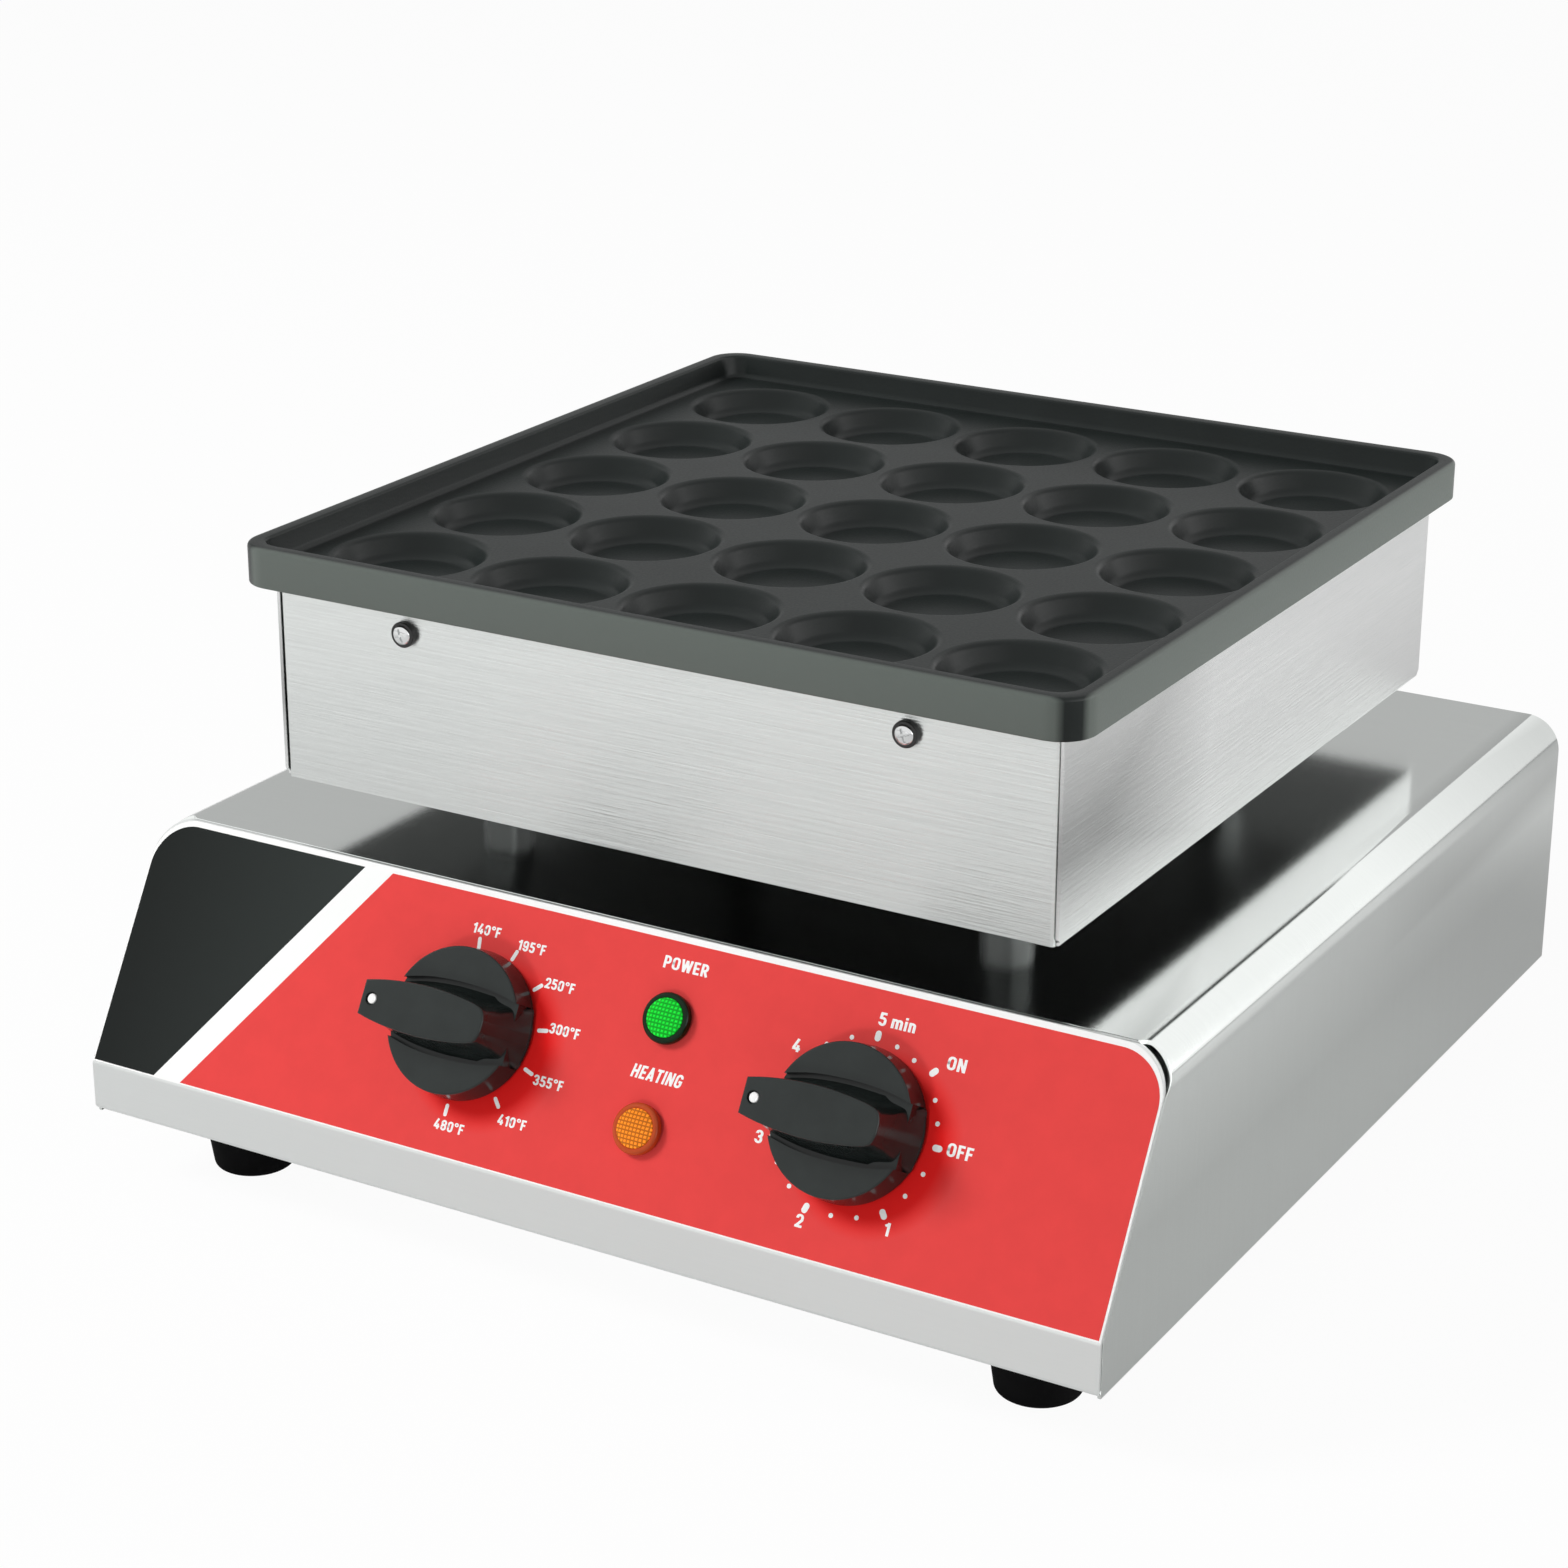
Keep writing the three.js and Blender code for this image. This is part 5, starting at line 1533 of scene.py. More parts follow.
@dataclass
class Panel(Assembly):
    """The printed film with its marks."""

    layout: Layout
    ring: Ring
    film: float = 0.3
    backing: float = 0.02
    backing_drop: float = 0.06
    print_depth: float = 0.08
    border: float = 0.15
    foot_border: float = 0.5
    ink: float = 0.06
    stroke: float = 0.185
    letter_gap: float = 0.13
    dot_ring: float = 27
    print_shift: Point = (0.5, -0.6)
    degree_stroke: float = 0.7
    ink_step: float = 0.002
    ink_steps: int = 12
    dot: float = 0.75

    def build(self, print_film: Material, white: Material) -> None:
        """Builds the film and its marks. The layers overlap a little, so no faces coincide."""
        lay, edge, face = self.layout, self.border, self.film
        top, side, corner = lay.panel_top, lay.film_side, lay.panel_corner
        printed = round_top(
            lay.width - 2 * side, lay.film_foot, top - lay.film_top, corner - side, 24
        )
        foot = lay.film_foot - self.foot_border
        border = round_top(lay.width - 2 * edge, foot, top - edge, corner - edge)
        layers = (
            ("film_backing", border, self.backing, face - self.backing_drop, white),
            ("printed_film", printed, face - self.print_depth, face, print_film),
        )
        for name, line, low, high, material in layers:
            film = Form().prism(line, low, high).raw(name)
            combined(film, "DIFFERENCE", *lay.panel_holes())
            film.data.transform(lay.on_slant())
            self.ride(finished(film, material), "panel_film", "panel_overlay")
        self.marks(white)
        self.labels(white)

    def marks(self, white: Material) -> None:
        """Builds the ticks and dots round both dials."""
        lay = self.layout
        heat = [(angle, 26.9) for angle in (-10, 20, 50, 80, 109, 140, 180)]
        minutes = [(0, 27.9), (44, 29.8), (90, 28), (144, 28)]
        minutes += [(198, 28.2), (252, 26.3), (306, 26.3)]
        rings = [
            ("thermostat_ticks", heat, lay.thermostat, (4.1, 1.3)),
            ("timer_ticks", minutes, lay.timer, (3.3, 2.0)),
        ]
        for name, spots, middle, (length, wide) in rings:
            form = Form()
            for angle, radius in spots:
                mark = Form().prism(obround((0, radius), length, wide, 8), 0, self.ink)
                mark.placed(Matrix.Rotation(math.radians(-angle), 4, "Z"))
                mesh = bpy.data.meshes.new("mark")
                mark.bm.to_mesh(mesh)
                mark.bm.free()
                form.bm.from_mesh(mesh)
            self.print_on(form.raw(name), middle, white)
        pairs = [(15, 30), (60, 75)]
        pairs += [(start + 18, start + 36) for start in (90, 144, 198, 252, 306)]
        for first, second in pairs:
            dots = [(0, 0), (self.dot, 0), (self.dot, self.ink), (0, self.ink)]
            item = Form().turned(dots, 16).raw(f"timer_dots_{first}")
            self.ring.lay(item, 2, self.dot_ring, (first, second - first), white)
            self.print_on(item, lay.timer, white)

    def print_on(self, item: Object, middle: Point, white: Material) -> None:
        """Puts a mark on the film round a middle."""
        x, y = middle[0] + self.print_shift[0], middle[1] + self.print_shift[1]
        item.data.transform(self.layout.on_slant(x, y, self.film))
        self.ride(finished(item, white, 60), "white_plastic")

    def labels(self, white: Material) -> None:
        """Builds the numbers and words of the panel."""
        heat = (
            ("140°F", -3.2, 31),
            ("195°F", 14.6, 29),
            ("250°F", 28.2, 19.5),
            ("300°F", 34.2, 6.2),
            ("355°F", 33.4, -10.6),
            ("410°F", 24.5, -25.3),
            ("480°F", 2.6, -31.7),
        )
        minutes = (
            ("5 min", 5.1, 33.1),
            ("ON", 27.3, 25.2),
            ("OFF", 35.4, 0.6),
            ("1", 18.9, -26.6),
            ("2", -9.6, -30.9),
            ("3", -29.9, -9.9),
            ("4", -25.5, 19.4),
        )
        lay = self.layout
        dials = (
            ("heat", heat, lay.thermostat, (3.85, 3.3)),
            ("timer", minutes, lay.timer, (4.9, 4)),
        )
        for dial, marks, (x, y), size in dials:
            for index, (text, across, up) in enumerate(marks, 1):
                self.label(f"{dial}_label_{index}", text, (x + across, y + up), size, white)
        lamp_x = lay.power_lamp[0]
        self.label("power_label", "POWER", (lamp_x + 0.5, 77.7), (4.75, 3.9), white)
        self.label("heating_label", "HEATING", (lamp_x + 0.4, 43), (4.3, 4.2), white, 0.17)

    def label(
        self,
        name: str,
        text: str,
        middle: Point,
        size: Point,
        white: Material,
        lean: float = 0,
    ) -> None:
        """Builds a word as raised ink.

        Args:
            name: Name of the piece.
            text: What it says.
            middle: Its middle on the panel.
            size: Length of the letters' unit across, and height of a capital.
            white: Material of the ink.
            lean: How far the letters lean to the right for each unit of height.
        """
        form = Form()
        across = 0.0
        level = 0
        wide, high = size
        for letter in text:
            width, strokes = LETTERS[letter]
            stroke = self.stroke * (self.degree_stroke if letter == "°" else 1)
            for line in strokes:
                top = self.ink + self.ink_step * (level % self.ink_steps)
                form.sheet(
                    ribbon(line, stroke),
                    lambda p: ((across + p[0] + p[1] * lean) * wide, p[1] * high, 0),
                    lambda p: ((across + p[0] + p[1] * lean) * wide, p[1] * high, top),
                )
                level += 1
            across += width + self.letter_gap
        form.placed(Matrix.Translation(((self.letter_gap - across) * wide / 2, -high / 2, 0)))
        self.print_on(form.raw(name), middle, white)


def loop(left: float, right: float, low: float, high: float) -> Stroke:
    """A closed stroke with round ends."""
    radius = (right - left) / 2 - 0.004
    middle = (low + high) / 2
    corners = ((left, high), (right, high), (right, low), (left, low))
    return ((left, middle), *((x, y, radius) for x, y in corners), (left, middle))


def bar(height: float, start: float, end: float) -> Stroke:
    """A level stroke."""
    return ((start, height), (end, height))


def stem(across: float, low: float = 0, high: float = 1) -> Stroke:
    """An upright stroke."""
    return ((across, low), (across, high))


def bowl(left: float, right: float, low: float, high: float, bend: float) -> Stroke:
    """A stroke that bulges to the right, with its ends at the left."""
    return ((left, high), (right, high, bend), (right, low, bend), (left, low))


def arch(left: float, right: float) -> Stroke:
    """The arch of a small letter."""
    return ((left, 0.4), (left, 0.635, 0.13), (right, 0.635, 0.13), (right, 0))


# Letters as strokes on a grid whose unit is the height of a capital: width, then the centre
# lines of the strokes.
LETTERS: dict[str, tuple[float, tuple[Stroke, ...]]] = {
    " ": (0.12, ()),
    "0": (0.52, (loop(0.085, 0.435, 0.085, 0.915),)),
    "1": (0.34, (stem(0.25), ((0.25, 0.9), (0.02, 0.72)))),
    "2": (
        0.5,
        (
            (
                (0.085, 0.68),
                (0.085, 0.915, 0.165),
                (0.42, 0.915, 0.165),
                (0.42, 0.56, 0.15),
                (0.07, 0.06),
            ),
            bar(0.085, 0, 0.5),
        ),
    ),
    "3": (
        0.52,
        (
            (
                (0.085, 0.72),
                (0.085, 0.915, 0.165),
                (0.425, 0.915, 0.165),
                (0.425, 0.52, 0.16),
                (0.2, 0.52),
            ),
            (
                (0.2, 0.52),
                (0.435, 0.52, 0.17),
                (0.435, 0.085, 0.17),
                (0.085, 0.085, 0.17),
                (0.085, 0.28),
            ),
        ),
    ),
    "4": (0.54, (((0.34, 1), (0.07, 0.27)), bar(0.25, 0, 0.54), stem(0.38, 0, 0.52))),
    "5": (
        0.5,
        (
            bar(0.915, 0.05, 0.46),
            ((0.125, 0.95), (0.1, 0.5)),
            (
                (0.07, 0.57),
                (0.42, 0.57, 0.165),
                (0.42, 0.085, 0.165),
                (0.08, 0.085, 0.165),
                (0.08, 0.26),
            ),
        ),
    ),
    "8": (0.52, (loop(0.095, 0.425, 0.52, 0.915), loop(0.085, 0.435, 0.085, 0.53))),
    "9": (
        0.52,
        (
            loop(0.085, 0.435, 0.42, 0.915),
            ((0.435, 0.66), (0.435, 0.085, 0.165), (0.095, 0.085, 0.165), (0.095, 0.27)),
        ),
    ),
    "°": (0.34, (loop(0.04, 0.3, 0.7, 0.96),)),
    "A": (0.58, (((0.07, 0), (0.29, 1)), ((0.29, 1), (0.51, 0)), bar(0.25, 0.14, 0.44))),
    "E": (
        0.45,
        (stem(0.085), bar(0.915, 0.085, 0.45), bar(0.5, 0.085, 0.42), bar(0.085, 0.085, 0.45)),
    ),
    "F": (0.44, (stem(0.085), bar(0.915, 0.085, 0.44), bar(0.5, 0.085, 0.4))),
    "G": (
        0.56,
        (
            (
                (0.465, 0.7),
                (0.465, 0.915, 0.185),
                (0.085, 0.915, 0.185),
                (0.085, 0.085, 0.185),
                (0.475, 0.085, 0.185),
                (0.475, 0.54),
            ),
            bar(0.46, 0.475, 0.28),
        ),
    ),
    "H": (0.55, (stem(0.085), stem(0.465), bar(0.5, 0.085, 0.465))),
    "I": (0.17, (stem(0.085),)),
    "N": (0.56, (stem(0.085), stem(0.475), ((0.1, 0.97), (0.46, 0.03)))),
    "O": (0.56, (loop(0.085, 0.475, 0.085, 0.915),)),
    "P": (0.5, (stem(0.085), bowl(0.085, 0.425, 0.44, 0.915, 0.18))),
    "R": (
        0.52,
        (stem(0.085), bowl(0.085, 0.425, 0.46, 0.915, 0.18), ((0.25, 0.46), (0.45, 0))),
    ),
    "T": (0.5, (bar(0.915, 0, 0.5), stem(0.25))),
    "W": (
        0.8,
        (
            ((0.06, 1), (0.22, 0)),
            ((0.22, 0), (0.4, 0.95)),
            ((0.4, 0.95), (0.58, 0)),
            ((0.58, 0), (0.74, 1)),
        ),
    ),
    "i": (0.17, (stem(0.085, 0, 0.72), stem(0.085, 0.83, 1))),
    "m": (0.75, (stem(0.085, 0, 0.72), arch(0.085, 0.375), arch(0.375, 0.665))),
    "n": (0.46, (stem(0.085, 0, 0.72), arch(0.085, 0.375))),
}


@dataclass
class Lamp(Assembly):
    """An indicator lamp: a clear bezel and a ribbed lens."""

    layout: Layout
    grid: Grid
    place: str
    middle: Point
    bezel_radius: float = 8.1
    bezel_height: float = 2.4
    barrel_radius: float = 6.3
    barrel_depth: float = 24
    lens_radius: float = 6.5
    lap: float = 0.3
    sink: float = 2
    crown: float = 0.9
    cell: float = 1.3
    relief: float = 0.3
    bezel_lift: float = 0.7
    bezel_round: float = 1.2
    rim_round: float = 0.35
    rim_drops: Point = (0.5, 0.7)
    lens_play: float = 0.25
    clear: float = 0.05
    crown_lift: float = 0.2
    shoulder_drop: float = 0.8
    crown_steps: int = 12
    rib_root: float = 0.25

    def build(self, bezel_glass: Material, lens_glass: Material) -> None:
        """Builds the bezel and the lens."""
        out = self.layout.gap + self.bezel_lift
        inner = self.lens_radius + self.lens_play
        top = self.bezel_height
        opening = self.lens_radius - self.lap
        large, small = self.bezel_round, self.rim_round
        profile = [
            (0, -self.barrel_depth),
            (self.barrel_radius, -self.barrel_depth),
            (self.barrel_radius, 0),
            (self.bezel_radius, 0),
            *arc((self.bezel_radius - large, top - large), large, 0, 90, 6),
            *arc((opening + small, top - small), small, 90, 180, 4),
            (opening, top - self.rim_drops[0]),
            (inner, top - self.rim_drops[1]),
            (inner, top - self.sink),
            (0, top - self.sink),
        ]
        spot = self.layout.on_slant(*self.middle, out)
        bezel = Form().turned(profile, 64).placed(spot).made(f"{self.place}_bezel", bezel_glass)
        self.ride(bezel, f"{self.colour}_bezel", f"{self.place}_lamp_bezel")
        low, high = top - self.sink + self.clear, top + self.crown_lift
        face, shoulder = opening - self.clear, top - self.shoulder_drop
        radii = [face * k / self.crown_steps for k in range(self.crown_steps, -1, -1)]
        dome = [(r, high + self.crown * (1 - (r / face) ** 2)) for r in radii]
        side = [(self.lens_radius, low), (self.lens_radius, shoulder), (face, shoulder)]
        lens = Form().turned([(0, low), *side, *dome], 64)
        piece = lens.placed(spot).made(f"{self.place}_lens_body", lens_glass)
        self.ride(piece, f"{self.colour}_lens", f"{self.place}_lamp_lens")
        self.ribs(high, spot, lens_glass)

    @property
    def colour(self) -> str:
        """Colour word of the record's slots."""
        return "green" if self.place == "power" else "amber"

    def ribs(self, high: float, spot: Matrix, glass: Material) -> None:
        """Builds the small pyramids on the lens."""
        foot = rectangle(self.cell / 2, self.cell / 2)
        cone = Form().skin([[(*p, z) for p in foot] for z in (-self.rib_root, 0)], (True, False))
        cone.bm.verts.ensure_lookup_table()
        ring = cone.bm.verts[4:]
        point = cone.bm.verts.new((0, 0, self.relief))
        for index, vert in enumerate(ring):
            cone.bm.faces.new((vert, ring[(index + 1) % 4], point))
        item = cone.raw(f"{self.place}_lens_ribs")
        count = int(2 * self.lens_radius / self.cell)
        span = (count - 1) * self.cell
        opening = self.lens_radius - self.lap
        self.grid.lay(item, (count, count), (span, span), glass, opening - 0.75 * self.cell)
        for vert in item.data.vertices:
            vert.co.z += high + self.crown * (1 - (vert.co.xy.length / opening) ** 2)
        item.data.transform(spot)
        self.ride(finished(item, glass, 20), f"{self.colour}_lens", f"{self.place}_lamp_lens")


@dataclass
class Knob(Assembly):
    """A control knob: a drafted disc with a finger grip that points to the left."""

    layout: Layout
    place: str
    middle: Point
    base_radius: float = 24.2
    face_radius: float = 23.6
    clearance: float = 1.2
    face: float = 11.1
    height: float = 22.85
    edge: float = 0.7
    groove: float = 2.8
    end_cut: float = 21
    notch_half: float = 9.9
    dot_place: float = 23
    bore: float = 3.25
    hub: float = 6.05
    cavity: float = 20.5
    pocket: Point = (2.1, 1.2)
    cavity_rise: float = 6
    hub_foot: float = 1.5
    bore_rise: float = 14
    rim_round: float = 0.8
    notch_floor: float = 0.8
    root_lift: float = 0.4
    root_sink: float = 0.2
    flare: Point = (2.6, 0.9)
    blunt_from: float = 12
    grip_steps: int = 14
    top_half: tuple[Point, ...] = (
        (-26.8, 5.5),
        (-21, 6.7),
        (-14, 7.6),
        (-5, 8.1),
        (3, 7.8),
        (10, 7.0),
        (15.2, 6.0),
        (17.7, 4.7),
        (18.9, 1.6),
    )
    root_half: tuple[Point, ...] = (
        (-24.6, 7.2),
        (-21, 8.5),
        (-12, 10.2),
        (-2, 10.9),
        (6.5, 10.7),
        (15, 10.2),
        (21.9, 10.0),
        (23.3, 6.2),
        (24.0, 1.6),
    )
    channel_half: tuple[Point, ...] = (
        (-27, 8.2),
        (-21.8, 9.5),
        (-12, 11.6),
        (-2, 12.3),
        (8, 12.1),
        (15, 11.3),
        (21.5, 9.9),
        (28, 8.4),
    )

    def outline(self, half: Sequence[Point], inset: float = 0) -> list[Point]:
        """A closed outline from half widths along the grip."""
        upper = smooth_through(half, 5)
        first, last = upper[0][0], upper[-1][0]
        middle = (first + last) / 2
        line = [(x, y) for x, y in upper] + [(x, -y) for x, y in reversed(upper)]
        shrunk = []
        for x, y in line:
            shift = inset if x < middle else -inset
            near_end = 1 if x in (first, last) or abs(x - middle) > 0.9 * (last - middle) else 0
            shrunk.append((x + shift * near_end, math.copysign(max(abs(y) - inset, 0.2), y)))
        return shrunk

    def grip_rings(self) -> list[list[Spot]]:
        """Rings of the grip, from its root in the disc to its top.

        The root follows the trench in the face along both sides. The blunt end is a steep wall
        that comes down to the foot of the disc.
        """
        root = self.outline(self.root_half)
        top = self.outline(self.top_half)
        face_root = self.face - self.groove
        high = self.height - self.edge
        foot = self.clearance + self.root_lift
        cut = self.end_cut - self.blunt_from
        ends = [min(max((x - self.blunt_from) / cut, 0), 1) for x, _ in root]
        lows = [face_root + (foot - face_root) * end for end in ends]
        rings = [[(x, y, foot - self.root_sink) for x, y in root]]
        for step in range(self.grip_steps + 1):
            share = step / self.grip_steps
            ring = []
            for (rx, ry), (tx, ty), low, end in zip(root, top, lows, ends):
                flare = (1 - share) ** (self.flare[0] - self.flare[1] * end)
                height = low + 0.02 + (high - low) * share
                ring.append((tx + (rx - tx) * flare, ty + (ry - ty) * flare, height))
            rings.append(ring)
        for angle in (30, 60, 90):
            turn = math.radians(angle)
            inset = self.edge * (1 - math.cos(turn))
            height = self.height - self.edge + self.edge * math.sin(turn)
            rings.append([(x, y, height) for x, y in self.outline(self.top_half, inset)])
        return rings

    def build(self, black: Material, white: Material) -> None:
        """Builds the knob and its dot."""
        low, face, high = self.clearance, self.face, self.height
        edge = self.rim_round
        rim = arc((self.face_radius - edge, face - edge), edge, 2, 90, 5)
        body = Form().turned([(0, low), (self.base_radius, low), *rim, (0, face)], 96).raw("knob")
        channel = Form().prism(self.outline(self.channel_half), face - self.groove, face + 4)
        reach, half = self.base_radius + 2, self.notch_half
        sides = [(self.end_cut, -half), (reach, -half), (reach, half), (self.end_cut, half)]
        notch = Form().prism(sides, low + self.notch_floor, face + 4)
        combined(body, "DIFFERENCE", channel, notch)
        combined(body, "UNION", Form().skin(self.grip_rings()))
        bore, hub, wide = self.bore, self.hub, self.cavity
        roof, foot = low + self.cavity_rise, self.hub_foot
        cavity = [(bore, -1), (wide, -1), (wide, roof), (hub, roof), (hub, foot), (bore, foot)]
        hollow = Form().turned([*cavity, cavity[0]], 64)
        shaft = Form().prism(circle((0, 0), bore), -1, low + self.bore_rise)
        radius, depth = self.pocket
        pocket = Form().prism(circle((-self.dot_place, 0), radius), high - depth, high + 2)
        combined(body, "DIFFERENCE", hollow, shaft, pocket)
        spot = self.layout.on_slant(*self.middle)
        body.name = f"{self.place}_grip_knob"
        body.data.transform(spot)
        self.ride(finished(body, black, 38), "black_plastic", f"{self.place}_knob")
        dot = Form().turned([(0, 0), (1.6, 0), (1.6, 0.6), (1.4, 0.8), (0, 0.9)], 32)
        dot.placed(spot @ Matrix.Translation((-self.dot_place, 0, high - depth + 0.01)))
        piece = dot.made(f"{self.place}_pointer_dot", white)
        self.ride(piece, "white_plastic", f"{self.place}_knob_dot")


# Studio


@dataclass
class Studio:
    """The floor, the light and the camera."""

    eye: Spot = (0.563926, -1.014295, 0.550082)
    target: Spot = (-0.03063, -0.00573, 0.110)
    roll: float = 0.1073
    lens: float = 82.563
    sky: float = 0.3
    floor_size: float = 14
    floor_shade: float = 0.05
    floor_white: float = 0.2
    floor_mirrored: float = 0.9
    card_grey: float = 0.48
    card_reach: float = 2.4

    def build(self) -> None:
        """Builds the studio."""
        self.camera()
        self.world()
        self.floor()
        self.card("grey_card", (-75, -8), (0.001, 2.4), self.card_grey)
        self.card("bright_card", (42, 130), (0.3, 1.6), 2.8)
        self.lamp("key", (-1.75, -1.45, 1.95), 0.9, 50)
        self.lamp("low", (-0.2, -2.57, 0.16), 0.3, 12)
        self.lamp("side", (2.2, 1.0, 0.17), 0.3, 39)
        bpy.context.scene.view_settings.view_transform = "Standard"

    def camera(self) -> None:
        """Puts the camera where the photograph was taken."""
        data = bpy.data.cameras.new("camera")
        data.lens = self.lens
        data.sensor_width = 36
        data.sensor_fit = "HORIZONTAL"
        data.clip_end = 50
        item = bpy.data.objects.new("camera", data)
        way = Vector(self.target) - Vector(self.eye)
        turn = way.to_track_quat("-Z", "Y").to_matrix().to_4x4()
        item.matrix_world = (
            Matrix.Translation(self.eye) @ turn @ Matrix.Rotation(math.radians(self.roll), 4, "Z")
        )
        bpy.context.scene.collection.objects.link(item)
        bpy.context.scene.camera = item

    def world(self) -> None:
        """Makes a white surround that lights the object softly."""
        world = bpy.data.worlds.new("surround")
        bpy.context.scene.world = world
        world.use_nodes = True
        w = Wiring(world.node_tree)
        light = w.node("ShaderNodeLightPath").outputs
        seen = w.math("MAXIMUM", light["Is Camera Ray"], light["Is Glossy Ray"])
        seen = w.math("MAXIMUM", seen, light["Is Transmission Ray"])
        back = world.node_tree.nodes["Background"]
        back.inputs["Color"].default_value = (1, 1, 1, 1)
        w.put(w.ramp(seen, 0, 1, (self.sky, 1)), back.inputs["Strength"])

    def staged(
        self, name: str, points: Sequence[Spot], faces: Sequence[tuple[int, ...]]
    ) -> tuple[Object, Wiring, Socket]:
        """Makes a thing of the stage with an empty material.

        Args:
            name: Name of the object and of its material.
            points: Its points, in metres.
            faces: Its faces, as numbers of points.

        Returns:
            The object, the wiring of its material, and the socket for its surface.
        """
        mesh = bpy.data.meshes.new(name)
        mesh.from_pydata(points, [], faces)
        item = bpy.data.objects.new(name, mesh)
        bpy.context.scene.collection.objects.link(item)
        material = bpy.data.materials.new(name)
        material.use_nodes = True
        nodes = material.node_tree.nodes
        nodes.remove(nodes["Principled BSDF"])
        mesh.materials.append(material)
        return item, Wiring(material.node_tree), nodes["Material Output"].inputs["Surface"]

    def floor(self) -> None:
        """Makes a pale floor that keeps the object's shadow."""
        half = self.floor_size / 2
        points = [(x, y, 0) for x, y in rectangle(half, half)]
        _, w, surface = self.staged("floor", points, [(0, 1, 2, 3)])
        light = w.node("ShaderNodeLightPath").outputs
        mirrored = w.math("MAXIMUM", light["Is Glossy Ray"], light["Is Transmission Ray"])
        shade = w.mix(mirrored, rgba((0.95, 0.95, 0.95)), rgba((self.floor_mirrored,) * 3))
        white = w.math("MULTIPLY", light["Is Camera Ray"], 1 - self.floor_shade)
        white = w.math("MAXIMUM", white, w.math("MULTIPLY", mirrored, self.floor_white))
        diffuse = w.named("ShaderNodeBsdfDiffuse", {"Color": shade}).outputs[0]
        glow = w.node("ShaderNodeEmission").outputs[0]
        w.put(w.fed("ShaderNodeMixShader", white, diffuse, glow).outputs[0], surface)

    def card(self, name: str, ends: Point, heights: Point, grey: float) -> None:
        """Stands a curved card round the object, which only shiny faces show.

        Args:
            name: Name of the card.
            ends: Directions of its left and right end, in degrees from straight behind.
            heights: Its lower and its upper edge, in metres.
            grey: Its strength.
        """
        turns = [math.radians(ends[0] + (ends[1] - ends[0]) * step / 8) for step in range(9)]
        feet = [(self.card_reach * math.sin(t), self.card_reach * math.cos(t)) for t in turns]
        points = [(x, y, z) for z in heights for x, y in feet]
        faces = [(k, k + 1, k + 10, k + 9) for k in range(8)]
        item, w, surface = self.staged(name, points, faces)
        w.put(w.named("ShaderNodeEmission", {"Strength": grey}).outputs[0], surface)
        item.visible_camera = False
        item.visible_diffuse = False
        item.visible_shadow = False

    def lamp(self, name: str, place: Spot, size: float, power: float) -> None:
        """Hangs a soft lamp that looks at the object.

        Args:
            name: Name of the lamp.
            place: Where it hangs, in metres.
            size: Side of its square face, in metres.
            power: Its power in watts.
        """
        data = bpy.data.lights.new(name, "AREA")
        data.size = size
        data.energy = power
        item = bpy.data.objects.new(name, data)
        item.visible_glossy = False
        way = Vector((0, 0, 0.1)) - Vector(place)
        turn = way.to_track_quat("-Z", "Y").to_matrix().to_4x4()
        item.matrix_world = Matrix.Translation(place) @ turn
        bpy.context.scene.collection.objects.link(item)


# The whole


def dress_inner_parts(bright: Material, black: Material, plain: Material) -> None:
    """Gives materials to the CAD nodes that stay."""
    zinc = SmoothMetal("zinc_plating", (0.5, 0.51, 0.5), 0.3, 0.5, 0.1).build()
    sheath = SmoothMetal("heated_sheath", (0.12, 0.1, 0.085), 0.42, 0.4, 0.2).build()
    copper = SmoothMetal("drawn_copper", (0.5, 0.21, 0.1), 0.3, 0.5, 0.08).build()
    ceramic = Moulded("unglazed_ceramic", (0.78, 0.73, 0.63), 0.7, 0.4, 0.15).build()
    braid = Braid("glass_fibre_braid").build()
    grey = Moulded("grey_moulding", (0.1, 0.1, 0.1), 0.45, 0.4, 0.1).build()
    dress(sheath, "heating_element")
    for place in ("front", "back"):
        dress(zinc, f"element_clamp_{place}", f"clamp_screw_{place}")
    dress(copper, "thermostat_bulb", "capillary_tube")
    dress(ceramic, "overheat_cutout", "terminal_block")
    dress(braid, "element_lead_left", "element_lead_right")
    for place in CORNERS:
        dress(zinc, f"post_bolt_{place}", f"post_nut_{place}", f"foot_screw_{place}")
    dress(plain, "bottom_plate")
    dress(black, "cable_gland_body", "cable_gland_cap", "cable_gland_locknut")
    dress(grey, "thermostat_body", "timer_body")
    dress(bright, "thermostat_shaft", "timer_shaft")


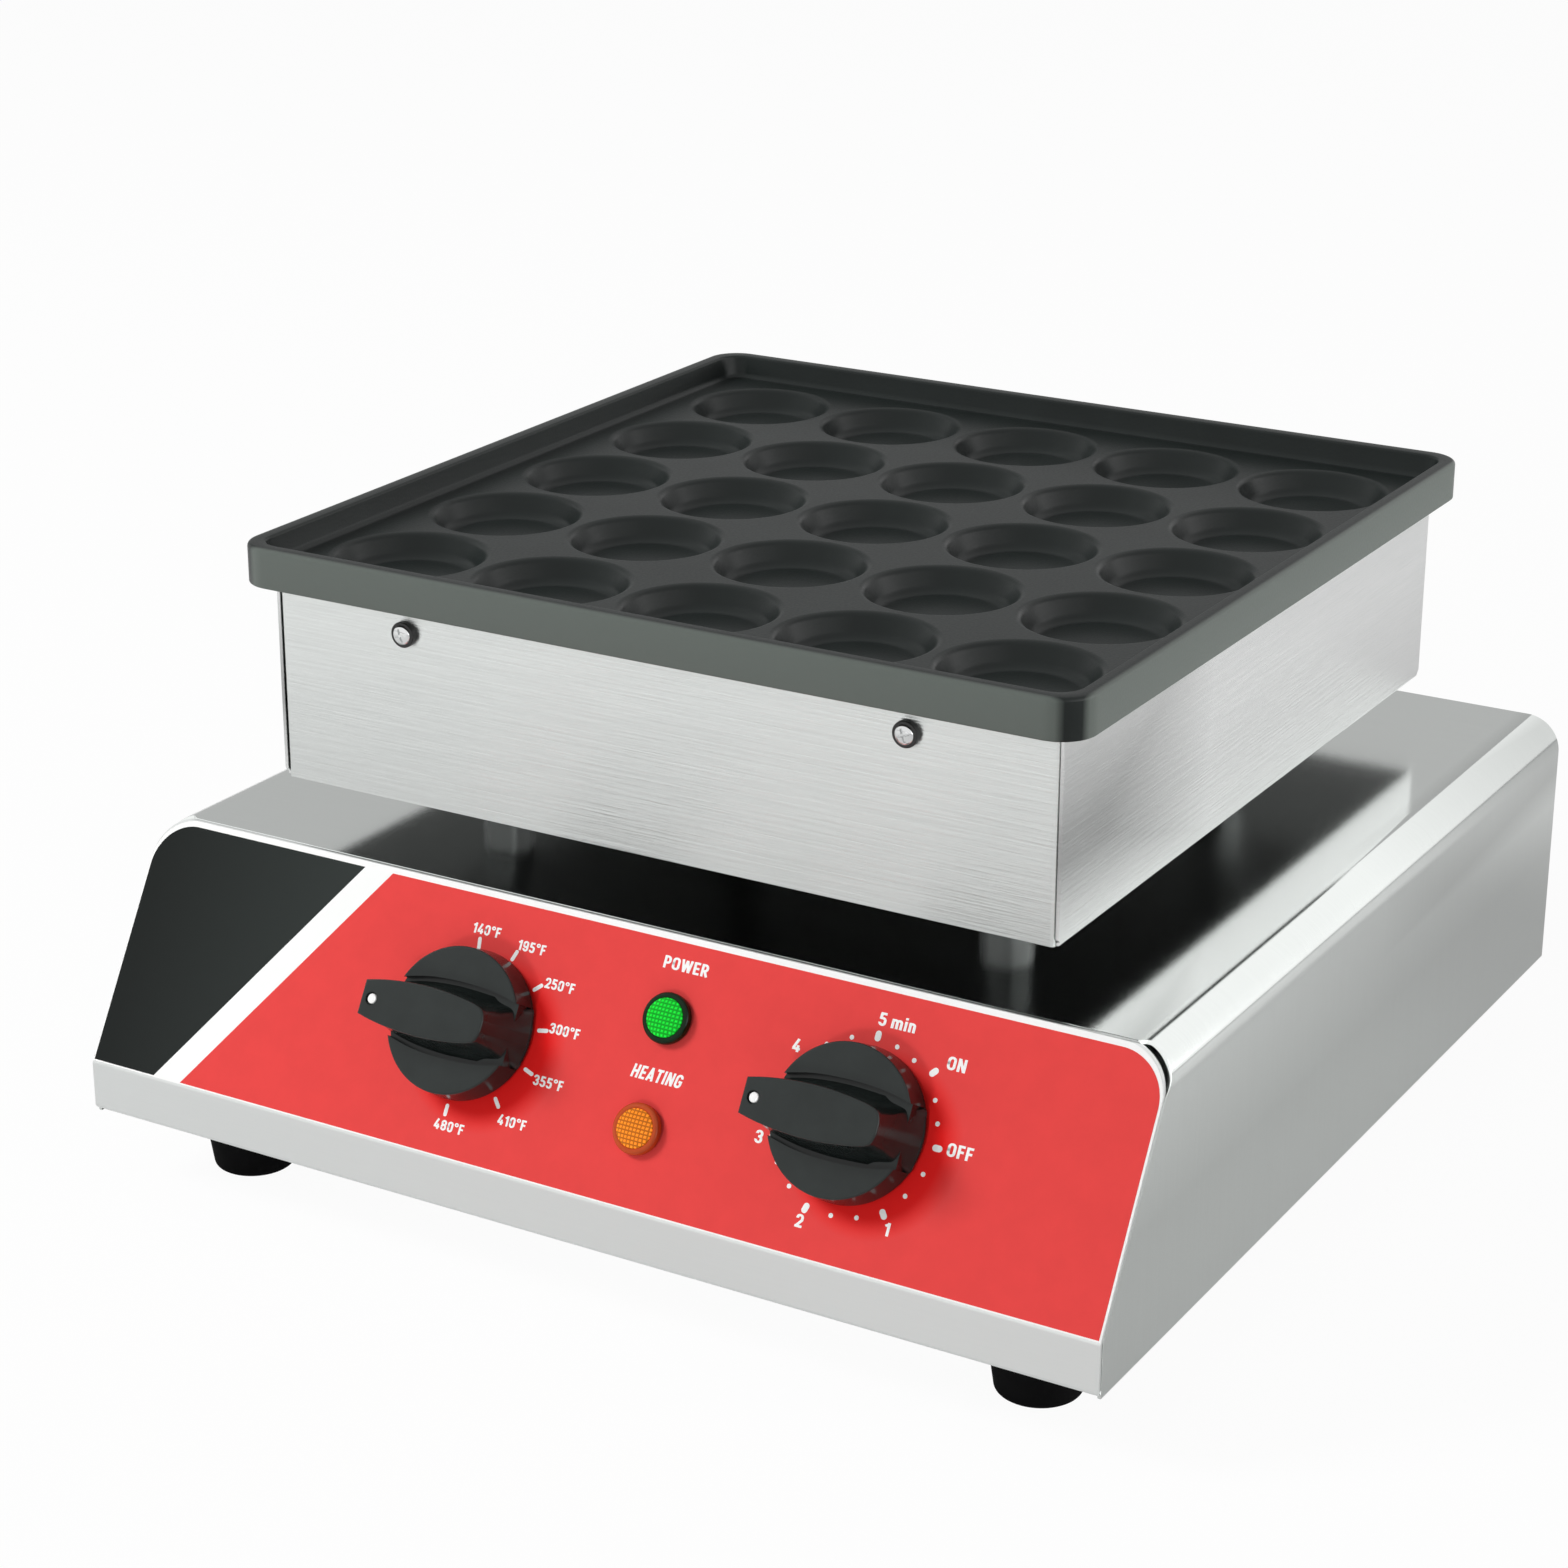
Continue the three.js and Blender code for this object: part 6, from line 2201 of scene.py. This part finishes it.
def main() -> None:
    """Builds the maker in order."""
    layout = Layout(Extent.of("base_cover"))
    origin = tuple(layout.slant_origin)
    grid = Grid()
    ring = Ring()

    shell = Extent.of("box_shell")
    low_y, low_z = shell.low.y, shell.low.z
    box_look = {"roughness": 0.24, "anisotropy": 0.9, "contrast": 0.09, "relief": 0.8}
    # Painted reflections: the box sides get a darker patch near the front and grow darker towards
    # the bottom, and the box ends grow darker towards the bottom.
    far_side = (Y_AXIS, low_y + 30, low_y + 105)
    side_painted_reflections = (
        PaintedReflection(0.48, (far_side, (Z_AXIS, low_z + 26, low_z + 2), (Z_AXIS, low_z + 34, low_z + 80))),
        PaintedReflection(0.82, ((Z_AXIS, low_z, low_z + 45),)),
    )
    end_painted_reflections = (PaintedReflection(0.86, ((Z_AXIS, low_z, low_z + 60),)),)
    edge = layout.base.high
    cover_look = {"roughness": 0.09, "anisotropy": 0.85, "contrast": 0.03, "relief": 0.05}
    # Painted reflections on the cover: its sides grow darker towards the bottom, and its bend is
    # darker at the back right.
    near_side = ((Y_AXIS, edge.y - 10, edge.y - 170), (X_AXIS, edge.x - 6, edge.x - 17))
    cover_painted_reflections = (
        PaintedReflection(0.76, ((Z_AXIS, edge.z - 50, edge.z - 12),)),
        PaintedReflection(0.7, (*near_side, (Z_AXIS, edge.z - 20, edge.z - 32))),
    )
    # Painted light: the shell's steel is painted lighter than the ends' steel so its sides look
    # brighter, and its floor is painted near-black as painted shade.
    shell_steel = BrushedSteel(
        "shell_brushed_steel",
        colour=(0.97, 0.99, 0.98),
        painted_shade_below=low_z,
        painted_reflections=side_painted_reflections,
        **box_look,
    ).build()
    end_steel = BrushedSteel(
        "end_brushed_steel", colour=(0.8, 0.825, 0.81), painted_reflections=end_painted_reflections, **box_look
    ).build()
    cover_steel = BrushedSteel(
        "cover_brushed_steel",
        Grain.AROUND_Y,
        (0.88, 0.91, 0.89),
        fineness=22.0,
        painted_reflections=cover_painted_reflections,
        **cover_look,
    ).build()
    panel_steel = BrushedSteel(
        "panel_brushed_steel", Grain.ALONG_X, (0.8, 0.82, 0.81), contrast=0.01, relief=0.01
    ).build()
    plain_steel = BrushedSteel("plain_brushed_steel", colour=(0.76, 0.78, 0.77)).build()
    bright = SmoothMetal("polished_steel").build()
    chrome = SmoothMetal("chrome_plating", (0.8, 0.81, 0.81), 0.02, 1.5, 0.02).build()
    satin = SmoothMetal("satin_nickel", (0.55, 0.56, 0.56), 0.1, 1.5, 0.02, 0.72).build()
    black = Moulded("knob_black", (0.0145, 0.0185, 0.0175), 0.13, 0.6, 0.03, specular=0.33).build()
    gland_black = Moulded("gland_black", (0.016, 0.016, 0.016), 0.4, 0.5, 0.1).build()
    rubber = Moulded("foot_rubber", (0.002, 0.002, 0.0022), 0.8, 0.4, 0.2, specular=0.08).build()
    white = Moulded("white_ink", (0.95, 0.95, 0.94), 0.5, 0.4, 0.03, worn=0.02).build()
    coating = NonStickCoating("non_stick").build()
    slant = {"origin": origin, "slant": layout.slant}
    dials = (layout.thermostat, layout.timer)
    film = PrintedFilm("printed_film", dials=dials, **slant).build()
    green_lens = LampGlass("green_lens", (0.01, 0.72, 0.04), 0.55, **slant).build()
    amber_lens = LampGlass("amber_lens", (0.95, 0.27, 0.02), 0.6, **slant).build()
    clear = {"roughness": 0.12, "grain": 0.6, "relief": 0.02}
    green_bezel = Moulded("green_bezel", (0.001, 0.013, 0.002), **clear, specular=0.2).build()
    amber_bezel = Moulded("amber_bezel", (0.46, 0.06, 0.01), **clear, specular=0.25).build()

    BakingPlate(grid).build(coating)
    Box().build(shell_steel, end_steel, chrome, gland_black)
    Base(layout, grid).build(cover_steel, panel_steel, plain_steel, rubber, bright, satin)
    Panel(layout, ring).build(film, white)
    Lamp(layout, grid, "power", layout.power_lamp).build(green_bezel, green_lens)
    Lamp(layout, grid, "heating", layout.heating_lamp).build(amber_bezel, amber_lens)
    for place, middle in (("thermostat", layout.thermostat), ("timer", layout.timer)):
        knob = Knob(layout, place, middle)
        knob.body = f"{place}_dial"
        knob.build(black, white)
    dress_inner_parts(bright, gland_black, plain_steel)
    Studio().build()


if __name__ == "__main__":
    main()
